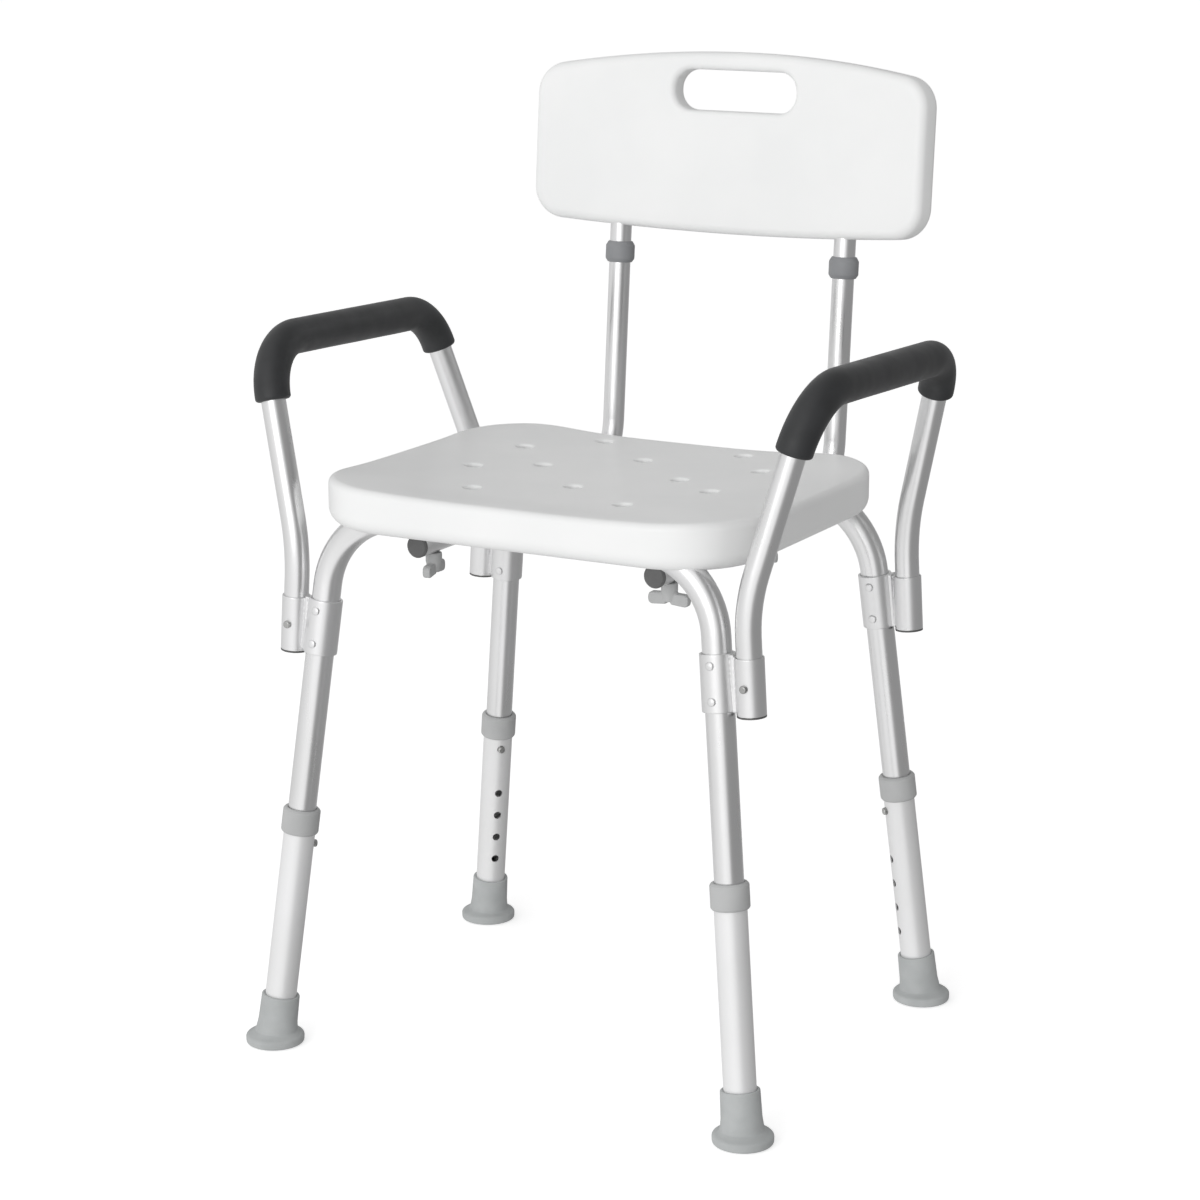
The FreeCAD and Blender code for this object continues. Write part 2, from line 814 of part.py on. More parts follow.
def armrest(side_name, side):
    """The bent arm tube with a lock hole at each end, and the foam grip on its top."""
    corners = arm_corners(side)
    front_bend = size("arm_front_bend").value
    rear_bend = size("arm_rear_bend").value
    kink_bend = size("arm_kink_bend").value
    path = smooth_path(corners, [kink_bend, front_bend, rear_bend, kink_bend])
    radius = arm_radius.value
    inner = radius - size("arm_tube_wall").value
    shape = swept_rod(path, radius).cut(swept_rod(path, inner))
    for end in ENDS.values():
        hole = Part.makeCylinder(button_hole.value, radius * 1.5)
        hole.Placement = FreeCAD.Placement(vector(0, 0, size("socket_tall") / 2), ALONG_X)
        hole.Placement = barrel_place(side, end) * hole.Placement
        shape = shape.cut(hole)
    tube = doc.addObject("Part::Feature", f"{side_name}_arm_tube")
    tube.Shape = shape
    piece(f"{side_name}_armrest_tube", tube)
    top = [
        at_height(corners[1], corners[2], size("grip_front_z").value), corners[2],
        corners[3], at_height(corners[4], corners[3], size("grip_rear_z").value),
    ]
    cover = smooth_path(top, [front_bend, rear_bend])
    bore = swept_rod(cover, radius + size("plug_gap").value)
    foam = swept_rod(cover, size("grip_od").value / 2).cut(bore)
    grip = doc.addObject("Part::Feature", f"{side_name}_grip")
    grip.Shape = foam
    piece(f"{side_name}_armrest_grip", grip)


def arms():
    all_rivets = []
    plugs = []
    inner = arm_radius - size("arm_tube_wall")
    middle = size("socket_tall") / 2
    travel = snap_travel(barrel_radius, barrel_bore)
    for side_name, side in SIDES.items():
        armrest(side_name, side)
        springs = []
        for end_name, end in ENDS.items():
            corner = f"{end_name}_{side_name}"
            spot = barrel_place(side, end)
            arm_socket(corner, side, end)
            all_rivets += rivets(corner, side, end)
            plugs.append(socket_plug(corner, side, end))
            snap_button(f"{corner}_arm_button", spot, inner, barrel_radius, middle)
            springs.append(snap_spring(f"{corner}_arm_clip", spot, inner, travel, middle))
        group(f"{side_name}_arm_button_springs", springs)
    group("socket_rivets", all_rivets)
    group("socket_plugs", plugs)


# ---------------------------------------------------------------- seat

CLAMPS = {"front": -size("clamp_front"), "rear": size("clamp_rear")}


def rail_way(name, side, gap):
    """The straight part of a backrest tube, as a tool that clears it by a gap."""
    reach = size("rail_front") + size("seat_rear")
    base = (side * size("rail_x"), -size("rail_front"), rail_z)
    return cylinder(name, back_radius + gap, reach, base, ALONG_Y)


def seat():
    """A thick moulded seat: rounded rim, dished top, drain holes, tube grooves, clamp pads."""
    low = size("seat_low")
    high = low + size("seat_thick")
    half = size("seat_width") / 2
    block = box("seat_block", (-half, -size("seat_front"), low), (half, size("seat_rear"), high))
    plan = rounded("seat_plan", block, size("seat_corner"), is_upright)
    crowned = rounded("seat_crowned", plan, size("seat_top_round"), is_level_at(high))
    rim = rounded("seat_rim", crowned, size("seat_low_round"), is_level_at(low))
    pads = []
    tools = []
    for side_name, side in SIDES.items():
        for clamp_name, y in CLAMPS.items():
            name = f"{clamp_name}_{side_name}"
            x = side * size("rail_x")
            half_wide = size("pad_width") / 2
            half_long = size("pad_long") / 2
            pad_low = (x - half_wide, y - half_long, rail_z + size("pad_hug"))
            pad_high = (x + half_wide, y + half_long, low + OVERRUN)
            pads.append(box(f"{name}_pad", pad_low, pad_high))
            insert = size("insert_od") / 2 + size("plug_gap")
            deep = size("insert_long") + back_radius
            tools.append(cylinder(f"{name}_insert_way", insert, deep, (x, y, low - back_radius)))
        tools.append(rail_way(f"{side_name}_rail_way", side, size("plug_gap")))
        for end_name, end in ENDS.items():
            tools.append(seat_screw_bore(f"{end_name}_{side_name}_screw_bite", side, end))
    outside = upper_radius + size("groove_gap")
    splay = size("leg_splay")
    for end_name, end in ENDS.items():
        bend = shoulder_bend(end)
        shoulder = foot_x - rise(end) * tan(splay) - bend * tan((90 - splay) / 2)
        reach = shoulder + bend + outside
        y = run_height(end).y
        half_wide = outside + (rise(end) - low) * tan(rake(end))
        groove_low = (-reach, y - half_wide, low - OVERRUN)
        groove_high = (reach, y + half_wide, rise(end) + outside)
        tools.append(box(f"{end_name}_groove", groove_low, groove_high))
    for number, (x, y) in enumerate(DRAINS):
        tools.append(cylinder(f"drain{number}", size("drain_od") / 2, high, (x, y, 0)))
    tools.append(dip("side_dip", high, ALONG_Y, (0, -size("seat_width"))))
    tools.append(dip("end_dip", high, ALONG_X, (-size("seat_width"), 0)))
    piece("seat", cut("seat_moulding", fuse("seat_solid", [rim] + pads), tools))


def dip(name, high, rotation, start):
    """A shallow hollow across the whole seat, cut by a large cylinder lying above it."""
    depth = size(name)
    reach = size(f"{name}_reach")
    radius = (reach * reach + depth * depth) / (2 * depth)
    return cylinder(name, radius, 2 * size("seat_width"), (*start, high - depth + radius), rotation)


def is_upright(edge):
    bounds = edge.BoundBox
    return bounds.XLength < 1e-3 and bounds.YLength < 1e-3


def is_level_at(height):
    def wanted(edge):
        bounds = edge.BoundBox
        return bounds.ZLength < 1e-3 and abs(bounds.ZMin - height.value) < 1e-3
    return wanted


def seat_screws():
    made = []
    for end_name, end in ENDS.items():
        for side_name, side in SIDES.items():
            name = f"{end_name}_{side_name}_screw"
            x = side * size("screw_x")
            y = run_height(end).y
            under = rise(end) - upper_radius
            long = upper_radius * 2 + size("screw_bite")
            head_low = under - size("screw_head")
            shank = cylinder(f"{name}_shank", size("screw_od") / 2, long, (x, y, under))
            head = cylinder(f"{name}_head", size("screw_head_od") / 2, size("screw_head"), (x, y, head_low))
            made.append(fuse(name, [shank, head]))
    group("seat_screws", made)


# ---------------------------------------------------------------- backrest tubes and clamps

def back_rail(side_name, side):
    """The tube that runs back under the seat and turns up behind it."""
    recline = tan(size("post_recline"))
    rise = size("post_top_z") - rail_z
    run = size("post_y_at_rail") + size("rail_front")
    corners = [(0, 0), (run, 0), (run + rise * recline, rise)]
    inner = back_radius - size("back_tube_wall")
    name = f"{side_name}_rail"
    bend = size("rail_bend")
    body, _ = bent_tube(name, "YZ_Plane", "XZ_Plane", corners, bend, back_radius, inner)
    place(body, (side * size("rail_x"), -size("rail_front"), rail_z))
    tools = []
    for clamp_name, y in CLAMPS.items():
        bore = size("stud_od") / 2 + size("button_clearance")
        low = rail_z - size("back_tube_od")
        base = (side * size("rail_x"), y, low)
        tools.append(cylinder(f"{clamp_name}_{side_name}_stud_way", bore, 2 * size("back_tube_od"), base))
    lock_at = (0, 0, -size("back_button_down"))
    lock = cylinder(f"{side_name}_back_lock", button_hole, back_radius * 1.5, lock_at, ALONG_X)
    tools.append(leaning(lock, post_place(side)))
    piece(f"{side_name}_back_rail", cut(f"{side_name}_rail_drilled", body, tools))


def rail_cap(side_name, side):
    """A domed cap with a plug, in the front end of a backrest tube."""
    inner = back_radius - size("back_tube_wall") - size("plug_gap")
    thick = size("rail_cap_thick")
    cap = turned(f"{side_name}_cap", [
        (0, -size("rail_cap_plug")), (inner, -size("rail_cap_plug")), (inner, 0), (back_radius, 0),
        (back_radius, thick / 2), (back_radius - thick / 2, thick), (0, thick),
    ])
    face_front = FreeCAD.Rotation(X_AXIS, 90)
    place(cap, (side * size("rail_x"), -size("rail_front"), rail_z), face_front)
    piece(f"{side_name}_rail_cap", cap)


def wing_knob(corner, side, y):
    """A wing bolt: its stud passes up through the tube into the seat's insert."""
    top = rail_z - back_radius
    hub_low = -size("knob_hub_tall")
    wing_low = hub_low - size("wing_tall")
    half_span = size("wing_span") / 2
    half_thick = size("wing_thick") / 2
    end_centre = half_span - half_thick
    wing_high = hub_low + OVERRUN
    stud = size("seat_low") + size("insert_long") - top - size("leaf_thick")
    hub_drop = size("wing_tall") * 0.7
    hub_tall = size("knob_hub_tall") + hub_drop
    solids = [
        cylinder(f"{corner}_hub", size("knob_hub_od") / 2, hub_tall, (0, 0, hub_low - hub_drop)),
        cylinder(f"{corner}_stud", size("stud_od") / 2, stud + OVERRUN, (0, 0, -OVERRUN)),
        box(f"{corner}_wings", (-end_centre, -half_thick, wing_low), (end_centre, half_thick, wing_high)),
        cylinder(f"{corner}_wing_a", half_thick, wing_high - wing_low, (end_centre, 0, wing_low)),
        cylinder(f"{corner}_wing_b", half_thick, wing_high - wing_low, (-end_centre, 0, wing_low)),
    ]
    knob = fuse(f"{corner}_knob", solids)
    place(knob, (side * size("rail_x"), y, top), FreeCAD.Rotation(Z_AXIS, KNOB_TURNS[corner]))
    piece(f"{corner}_wing_knob", knob)


def seat_inserts():
    made = []
    for side_name, side in SIDES.items():
        for clamp_name, y in CLAMPS.items():
            name = f"{clamp_name}_{side_name}_insert"
            base = (side * size("rail_x"), y, size("seat_low"))
            long = size("insert_long")
            shell = cylinder(f"{name}_shell", size("insert_od") / 2, long, base)
            bore = cylinder(f"{name}_bore", size("stud_od") / 2 + size("plug_gap"), long, base)
            made.append(cut(name, shell, [bore]))
    group("seat_inserts", made)


def back_collar(side_name, side):
    """A plastic ring over the joint between a lower and an upper post."""
    bore = back_radius + size("plug_gap")
    wide = back_radius + size("back_collar_wall")
    skirt = -size("back_collar_skirt")
    lip = size("back_collar_lip")
    chamfer = size("collar_chamfer")
    collar = turned(f"{side_name}_back_ring", [
        (bore, skirt), (wide - chamfer, skirt), (wide, skirt + chamfer), (wide, lip - chamfer),
        (wide - chamfer, lip), (bore, lip),
    ])
    collar.Placement = post_place(side)
    piece(f"{side_name}_back_collar", collar)


def back_post(side_name, side):
    """The upper post: a full-size tube with a reduced spigot that plugs into the lower post."""
    spigot = back_radius - size("back_tube_wall") - size("plug_gap")
    inner = spigot - size("spigot_wall")
    shoulder = size("button_clearance")
    top = size("panel_low") + size("post_bore_deep") - OVERRUN
    tube = turned(f"{side_name}_post_tube", [
        (inner, -size("spigot_long")), (spigot, -size("spigot_long")), (spigot, shoulder),
        (back_radius, shoulder), (back_radius, top), (inner, top),
    ])
    reach = back_radius * 1.5
    lock_at = (0, 0, -size("back_button_down"))
    tools = [cylinder(f"{side_name}_post_lock", button_hole, reach, lock_at, ALONG_X)]
    for number, height in enumerate(back_screw_heights()):
        bore = size("back_screw_od") / 2 + size("plug_gap")
        name = f"{side_name}_post_screw{number}"
        tools.append(cylinder(name, bore, reach, (0, 0, height), ALONG_X))
    piece(f"{side_name}_back_post", moved(cut(f"{side_name}_post", tube, tools), post_place(side)))


def back_screw_heights():
    low = size("panel_low") + size("back_screw_low")
    return [low, low + size("back_screw_step")]


def backrest():
    """A curved moulded panel with a hand slot, bored from below for the two posts."""
    half = size("panel_width") / 2
    low = size("panel_low")
    high = low + size("panel_tall")
    depth = size("panel_thick") * 4
    curve = size("panel_curve")
    middle = -root(curve * curve - size("rail_x") * size("rail_x"))
    block = box("panel_block", (-depth, -half, low), (depth, half, high))
    crown = cylinder("panel_crown_arc", size("panel_crown"), 2 * depth,
                     (-depth, 0, high - size("panel_crown")), ALONG_X)
    belly = cylinder("panel_belly_arc", size("panel_belly"), 2 * depth,
                     (-depth, 0, low + size("panel_belly")), ALONG_X)
    front_view = rounded("panel_front", common("panel_blank", [block, crown, belly]), size("panel_corner"),
                         lambda edge: edge.BoundBox.YLength < 1e-3 and edge.BoundBox.ZLength < 1e-3)
    shell = cylinder("panel_rear", curve + size("panel_thick") / 2, 2 * high, (middle, 0, -low))
    hollow = cylinder("panel_face", curve - size("panel_thick") / 2, 2 * high, (middle, 0, -low))
    plate = common("panel_plate", [front_view, cut("panel_ring", shell, [hollow])])
    soft = rounded("panel_soft", plate, size("panel_edge"), lambda edge: True)
    slot_y = size("slot_wide") / 2
    slot_z = size("slot_tall") / 2
    centre = low + size("slot_up")
    slot_block = box("slot_block", (-depth, -slot_y, centre - slot_z), (depth, slot_y, centre + slot_z))
    slot = rounded("slot", slot_block, size("slot_corner"),
                   lambda edge: edge.BoundBox.YLength < 1e-3 and edge.BoundBox.ZLength < 1e-3)
    slotted = rounded("panel_slotted", cut("panel_open", soft, [slot]), size("slot_edge"),
                      is_slot_rim(slot_y, centre, slot_z))
    tools = []
    for side_name, side in SIDES.items():
        y = side * size("rail_x")
        bore = back_radius + size("plug_gap")
        tools.append(cylinder(f"{side_name}_post_way", bore, size("post_bore_deep") + low, (0, y, 0)))
        for number, height in enumerate(back_screw_heights()):
            name = f"{side_name}_panel_screw{number}"
            thread = size("back_screw_od") / 2 + size("plug_gap")
            tools.append(cylinder(f"{name}_way", thread, depth, (0, y, height), ALONG_X))
            seat_depth = size("panel_thick") / 2 - OVERRUN / 2
            sink = size("screw_head_od") / 2 + size("plug_gap")
            tools.append(cylinder(f"{name}_sink", sink, depth, (seat_depth, y, height), ALONG_X))
    piece("backrest", moved(cut("backrest_moulding", slotted, tools), post_place()))


def is_slot_rim(half_wide, centre, half_tall):
    """Picks the edges that run round the hand slot on both faces."""
    def wanted(edge):
        bounds = edge.BoundBox
        inside = max(abs(bounds.YMin), abs(bounds.YMax)) < half_wide.value + 1
        near = abs((bounds.ZMin + bounds.ZMax) / 2 - centre.value) < half_tall.value + 1
        return inside and near and bounds.ZLength < 2 * half_tall.value and bounds.XLength < 5
    return wanted


def backrest_screws():
    made = []
    for side_name, side in SIDES.items():
        for number, height in enumerate(back_screw_heights()):
            name = f"{side_name}_back_screw{number}"
            face = size("panel_thick") / 2 - OVERRUN / 2
            inner = back_radius - size("back_tube_wall") * 2
            shank_at = (inner, 0, height)
            head_at = (face, 0, height)
            shank = cylinder(f"{name}_shank", size("back_screw_od") / 2, face - inner, shank_at, ALONG_X)
            head = cylinder(f"{name}_head", size("screw_head_od") / 2, size("screw_head"), head_at, ALONG_X)
            made.append(moved(fuse(name, [shank, head]), post_place(side)))
    group("backrest_screws", made)


def back():
    springs = []
    inner = back_radius - size("back_tube_wall") - size("plug_gap") - size("spigot_wall")
    down = -size("back_button_down")
    travel = snap_travel(back_radius, back_radius - size("back_tube_wall"))
    for side_name, side in SIDES.items():
        spot = post_place(side)
        back_rail(side_name, side)
        rail_cap(side_name, side)
        back_collar(side_name, side)
        back_post(side_name, side)
        snap_button(f"{side_name}_back_button", spot, inner, back_radius, down)
        springs.append(snap_spring(f"{side_name}_back_clip", spot, inner, travel, down))
        for clamp_name, y in CLAMPS.items():
            wing_knob(f"{clamp_name}_{side_name}", side, y)
    group("back_button_springs", springs)
    backrest()
    backrest_screws()


def centre_over_origin():
    """Slide every piece along Y so that the middle of the whole chair is over the origin."""
    boxes = [thing.Shape.optimalBoundingBox() for thing in pieces]
    middle = (min(bounds.YMin for bounds in boxes) + max(bounds.YMax for bounds in boxes)) / 2
    slide = FreeCAD.Placement(FreeCAD.Vector(0, -middle, 0), FreeCAD.Rotation())
    for thing in pieces:
        bound = {path.lstrip("."): text for path, text in thing.ExpressionEngine}
        if "Placement.Base.y" in bound:
            thing.setExpression("Placement.Base.y", f"{bound['Placement.Base.y']} - {middle:.6f}")
        else:
            thing.Placement = slide * thing.Placement
    print("moved along Y by", round(-middle, 3))


legs()
arms()
seat()
seat_screws()
seat_inserts()
back()
doc.recompute()
centre_over_origin()
doc.recompute()

# ---------------------------------------------------------------- checks and export

failed = [thing.Name for thing in doc.Objects if {"Invalid", "Error"} & set(thing.State)]
if failed:
    raise RuntimeError(f"failed objects: {failed}")
os.makedirs("parts", exist_ok=True)
for thing in pieces:
    if thing.Shape.isNull() or not thing.Shape.isValid():
        raise RuntimeError(f"bad shape: {thing.Label}")
    thing.Shape.exportStep(f"parts/{thing.Label}.step")
    print(thing.Label, len(thing.Shape.Solids), round(thing.Shape.Volume))
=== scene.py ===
import itertools
import json
import math

import bpy
from mathutils import Matrix, Vector, geometry, noise


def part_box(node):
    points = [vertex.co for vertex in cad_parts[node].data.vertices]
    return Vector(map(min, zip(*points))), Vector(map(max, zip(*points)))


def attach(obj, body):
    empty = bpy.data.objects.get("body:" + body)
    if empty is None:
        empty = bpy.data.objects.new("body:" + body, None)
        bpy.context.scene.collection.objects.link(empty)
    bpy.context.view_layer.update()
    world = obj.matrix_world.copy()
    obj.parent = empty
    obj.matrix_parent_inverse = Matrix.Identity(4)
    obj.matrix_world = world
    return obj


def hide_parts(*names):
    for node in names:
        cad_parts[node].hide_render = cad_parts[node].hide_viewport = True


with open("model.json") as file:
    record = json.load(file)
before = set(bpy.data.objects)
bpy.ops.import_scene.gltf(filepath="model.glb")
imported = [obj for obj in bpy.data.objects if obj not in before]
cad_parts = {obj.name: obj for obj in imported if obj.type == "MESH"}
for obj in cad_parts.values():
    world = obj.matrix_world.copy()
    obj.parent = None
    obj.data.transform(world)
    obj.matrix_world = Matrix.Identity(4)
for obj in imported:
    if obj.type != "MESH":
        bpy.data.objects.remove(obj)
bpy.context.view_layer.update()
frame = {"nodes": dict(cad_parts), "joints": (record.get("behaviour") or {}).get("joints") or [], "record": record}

# Sizes are in millimetres here and become metres when a mesh is made.
MM = 0.001
SIDES = {"left": -1, "right": 1}
ENDS = {"front": -1, "rear": 1}
CORNERS = [(f"{end}_{side}", s, e) for end, e in ENDS.items() for side, s in SIDES.items()]

# Places that several pieces share: from the floor up, or from the middle of the chair out.
SEAT_LOW = 484.5
RAIL_X = 118.5
RAIL_Z = 467.0
RAIL_BEND_Y = 232.7
POST_TOP = 692.0
SOCKET_LOW = 368.5
SOCKET_TALL = 50
BARREL_X = 228.1
BARREL_Y = {-1: 161.5, 1: 168.0}
BARREL_LEAN = 3.5
LEG_TOP = 224
CLAMPS = (-100, 97)
RIVET_HEIGHTS = (378.5, 408.5)
KNOB_TURNS = {"front_left": 100, "front_right": 0, "rear_left": 40, "rear_right": -50}
DRAINS = [(122, 69), (73, 135), (70, 12), (120, -28), (75, -105)]
DRAINS = [(side * x, y) for x, y in DRAINS for side in (-1, 1)] + [(0, 75), (0, -57)]

mounts = {mount["name"]: Vector(mount["pos_m"]) / MM for mount in frame["record"]["mounts"]}
joints = {joint["name"]: joint for joint in frame["joints"]}
middle_y = sum(spot.y for spot in mounts.values()) / len(mounts)


def span(node):
    """A node's lowest and highest corners in millimetres."""
    low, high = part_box(node)
    return low / MM, high / MM


# ------------------------------------------------------------------ placing and meshing

def facing(base, up, front):
    """Z along up, X as near as it can be to front."""
    z = Vector(up).normalized()
    y = z.cross(Vector(front)).normalized()
    x = y.cross(z)
    turn = Matrix((x, y, z)).transposed().to_4x4()
    return Matrix.Translation(base) @ turn


def build(name, points, faces, place=None, smooth=40):
    """A mesh object from millimetre points, shaded smooth up to an angle in degrees."""
    place = place or Matrix.Identity(4)
    mesh = bpy.data.meshes.new(name)
    mesh.from_pydata([tuple((place @ Vector(p)) * MM) for p in points], [], faces)
    mesh.validate()
    mesh.update()
    thing = bpy.data.objects.new(name, mesh)
    bpy.context.scene.collection.objects.link(thing)
    settle_shading(thing, smooth)
    return thing


def settle_shading(thing, smooth):
    mesh = thing.data
    for face in mesh.polygons:
        face.use_smooth = True
    mesh.set_sharp_from_angle(angle=math.radians(smooth))


def join(name, things, smooth=40):
    """Join objects into one mesh object."""
    points = []
    faces = []
    for thing in things:
        first = len(points)
        points += [tuple(thing.matrix_world @ v.co / MM) for v in thing.data.vertices]
        faces += [[first + i for i in face.vertices] for face in thing.data.polygons]
        bpy.data.objects.remove(thing)
    return build(name, points, faces, smooth=smooth)


def apply_modifiers(thing, smooth=40):
    graph = bpy.context.evaluated_depsgraph_get()
    mesh = bpy.data.meshes.new_from_object(thing.evaluated_get(graph))
    thing.modifiers.clear()
    thing.data = mesh
    settle_shading(thing, smooth)
    return thing


def melted(thing, voxel, rounds, smooth=60):
    """Fuse overlapping closed shapes into one skin with softened creases."""
    remesh = thing.modifiers.new("fuse", "REMESH")
    remesh.mode = "VOXEL"
    remesh.voxel_size = voxel * MM
    soften = thing.modifiers.new("soften", "SMOOTH")
    soften.factor = 0.5
    soften.iterations = rounds
    return apply_modifiers(thing, smooth)


def lathe(profile, place, name="turned", steps=72):
    """Turn a closed (radius, height) profile about Z."""
    points = []
    for step in range(steps):
        angle = 2 * math.pi * step / steps
        for radius, height in profile:
            points.append((radius * math.cos(angle), radius * math.sin(angle), height))
    count = len(profile)
    faces = []
    for step in range(steps):
        ahead = (step + 1) % steps
        for row in range(count):
            below = (row + 1) % count
            here, there = step * count, ahead * count
            faces.append((here + row, there + row, there + below, here + below))
    return build(name, points, faces, place)


def softened(corners, radius, steps=5):
    """Round each corner of a closed profile by an arc of about the given radius."""
    rounded = []
    count = len(corners)
    for index in range(count):
        here = Vector(corners[index])
        before = Vector(corners[index - 1]) - here
        after = Vector(corners[(index + 1) % count]) - here
        reach = min(radius, before.length * 0.45, after.length * 0.45)
        start = here + before.normalized() * reach
        end = here + after.normalized() * reach
        for step in range(steps + 1):
            t = step / steps
            rounded.append(tuple(start * (1 - t) ** 2 + here * 2 * t * (1 - t) + end * t ** 2))
    return rounded


def block(low, high, place=None, name="block"):
    corners = [(x, y, z) for x, y, z in itertools.product(*zip(low, high))]
    faces = [(0, 1, 3, 2), (4, 6, 7, 5), (0, 4, 5, 1), (2, 3, 7, 6), (0, 2, 6, 4), (1, 5, 7, 3)]
    return build(name, corners, faces, place)


def beveled(thing, width, segments=4):
    bevel = thing.modifiers.new("edges", "BEVEL")
    bevel.width = width * MM
    bevel.segments = segments
    bevel.limit_method = "ANGLE"
    bevel.angle_limit = math.radians(35)
    return apply_modifiers(thing)


def finish_piece(thing, body, slot, material, *nodes):
    thing.data.materials.clear()
    thing.data.materials.append(material)
    if nodes:
        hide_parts(*nodes)
    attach(thing, body)
    return thing


# ------------------------------------------------------------------ plates with rounded rims and holes

def rounded_box_loop(half_wide, half_deep, corner, centre=(0, 0), side_steps=(40, 32), corner_steps=20):
    """Points round a rounded rectangle, anticlockwise, always the same number."""
    def on_corner(turn, angle):
        x = (half_wide - corner) * (1 if turn % 4 in (0, 3) else -1)
        y = (half_deep - corner) * (1 if turn % 4 in (0, 1) else -1)
        reach_x = corner * math.cos(angle)
        reach_y = corner * math.sin(angle)
        return Vector((centre[0] + x + reach_x, centre[1] + y + reach_y))

    quarter = math.pi / 2
    loop = []
    for turn, steps in zip(range(4), side_steps * 2):
        for step in range(corner_steps + 1):
            loop.append(on_corner(turn, quarter * (turn + step / corner_steps)))
        start = loop[-1].copy()
        end = on_corner(turn + 1, quarter * (turn + 1))
        for step in range(1, steps):
            loop.append(start.lerp(end, step / steps))
    return loop


def ring_loop(centre, radius, steps=28):
    return [Vector((centre[0] + radius * math.cos(2 * math.pi * k / steps),
                    centre[1] + radius * math.sin(2 * math.pi * k / steps))) for k in range(steps)]


def inside(loop, x, y):
    hit = False
    for a, b in zip(loop, loop[1:] + loop[:1]):
        if (a.y > y) != (b.y > y) and x < (b.x - a.x) * (y - a.y) / (b.y - a.y) + a.x:
            hit = not hit
    return hit


def sheet_fill(outer, holes, step):
    """Triangles between an outer loop and hole loops, with an even grid of points inside."""
    points = list(outer)
    edges = [(k, (k + 1) % len(outer)) for k in range(len(outer))]
    for loop in holes:
        first = len(points)
        points += loop
        edges += [(first + k, first + (k + 1) % len(loop)) for k in range(len(loop))]
    lows = [min(p[k] for p in outer) for k in (0, 1)]
    highs = [max(p[k] for p in outer) for k in (0, 1)]
    centres = [(sum(loop, Vector((0, 0))) / len(loop)) for loop in holes]
    reaches = [max((p - centre).length for p in loop) for loop, centre in zip(holes, centres)]
    columns = int((highs[0] - lows[0]) / step)
    rows = int((highs[1] - lows[1]) / step)
    border = outer[::2]

    def is_close(spot, loop, gap):
        return min((spot - point).length for point in loop) < gap

    def is_clear(spot):
        if not inside(outer, *spot) or is_close(spot, border, step * 0.6):
            return False
        for loop, centre, reach in zip(holes, centres, reaches):
            if (spot - centre).length < reach + step * 0.5:
                if inside(loop, *spot) or is_close(spot, loop, step * 0.4):
                    return False
        return True

    for i, j in itertools.product(range(1, columns), range(1, rows)):
        x = lows[0] + (highs[0] - lows[0]) * i / columns
        y = lows[1] + (highs[1] - lows[1]) * j / rows
        if is_clear(Vector((x, y))):
            points.append(Vector((x, y)))
    made, _, faces, *_ = geometry.delaunay_2d_cdt(points, edges, [], 0, 1e-5)
    kept = []
    for face in faces:
        centre = sum((made[k] for k in face), Vector((0, 0))) / len(face)
        if inside(outer, *centre) and not any(inside(loop, *centre) for loop in holes):
            kept.append(tuple(face))
    if len(made) != len(points):
        raise RuntimeError("the fill merged points")
    return made, kept


def plate(name, outer, holes, top_rim, low_rim, hole_rim, top_at, low_at, to_space, step, place=None):
    """A slab between two height functions, with rounded outer rims and rounded holes.

    outer and each hole give a loop for an inset; heights come from top_at and low_at.
    """
    arc = 10
    points = []
    faces = []

    def add(spots, height):
        first = len(points)
        points.extend(to_space(spot, height(spot)) for spot in spots)
        return first

    def bridge(first, second, count, flip):
        for k in range(count):
            quad = (first + k, first + (k + 1) % count, second + (k + 1) % count, second + k)
            faces.append(quad[::-1] if flip else quad)

    def rim(loop, radius, face_at, sign, flip):
        rows = []
        for k in range(arc):
            angle = math.pi / 2 * k / arc
            spots = loop(radius * (1 - math.cos(angle)))
            drop = radius * (1 - math.sin(angle))
            rows.append(add(spots, lambda spot, drop=drop: face_at(spot) - sign * drop))
        count = len(loop(0))
        for low, high in zip(rows, rows[1:]):
            bridge(low, high, count, flip)
        return rows[0], rows[-1], count

    edges = {}
    for side, face_at, radius, sign in (("top", top_at, top_rim, 1), ("low", low_at, low_rim, -1)):
        flip = side == "low"
        start, last, count = rim(outer, radius, face_at, sign, flip)
        border = outer(radius)
        hole_rims = [rim(hole, hole_rim, face_at, sign, not flip) for hole in holes]
        hole_loops = [hole(hole_rim) for hole in holes]
        made, fill = sheet_fill(border, hole_loops, step)
        first = add(made, face_at)
        faces.extend(tuple(first + k for k in (face[::-1] if flip else face)) for face in fill)
        bridge(last, first, count, flip)
        offset = first + count
        for (_, hole_last, hole_count), loop in zip(hole_rims, hole_loops):
            bridge(hole_last, offset, hole_count, not flip)
            offset += hole_count
        edges[side] = [(first_row, size) for first_row, _, size in [(start, last, count)] + hole_rims]
    for number, ((top, count), (low, _)) in enumerate(zip(edges["top"], edges["low"])):
        bridge(low, top, count, number > 0)
    return build(name, points, faces, place, smooth=50)


# ------------------------------------------------------------------ materials

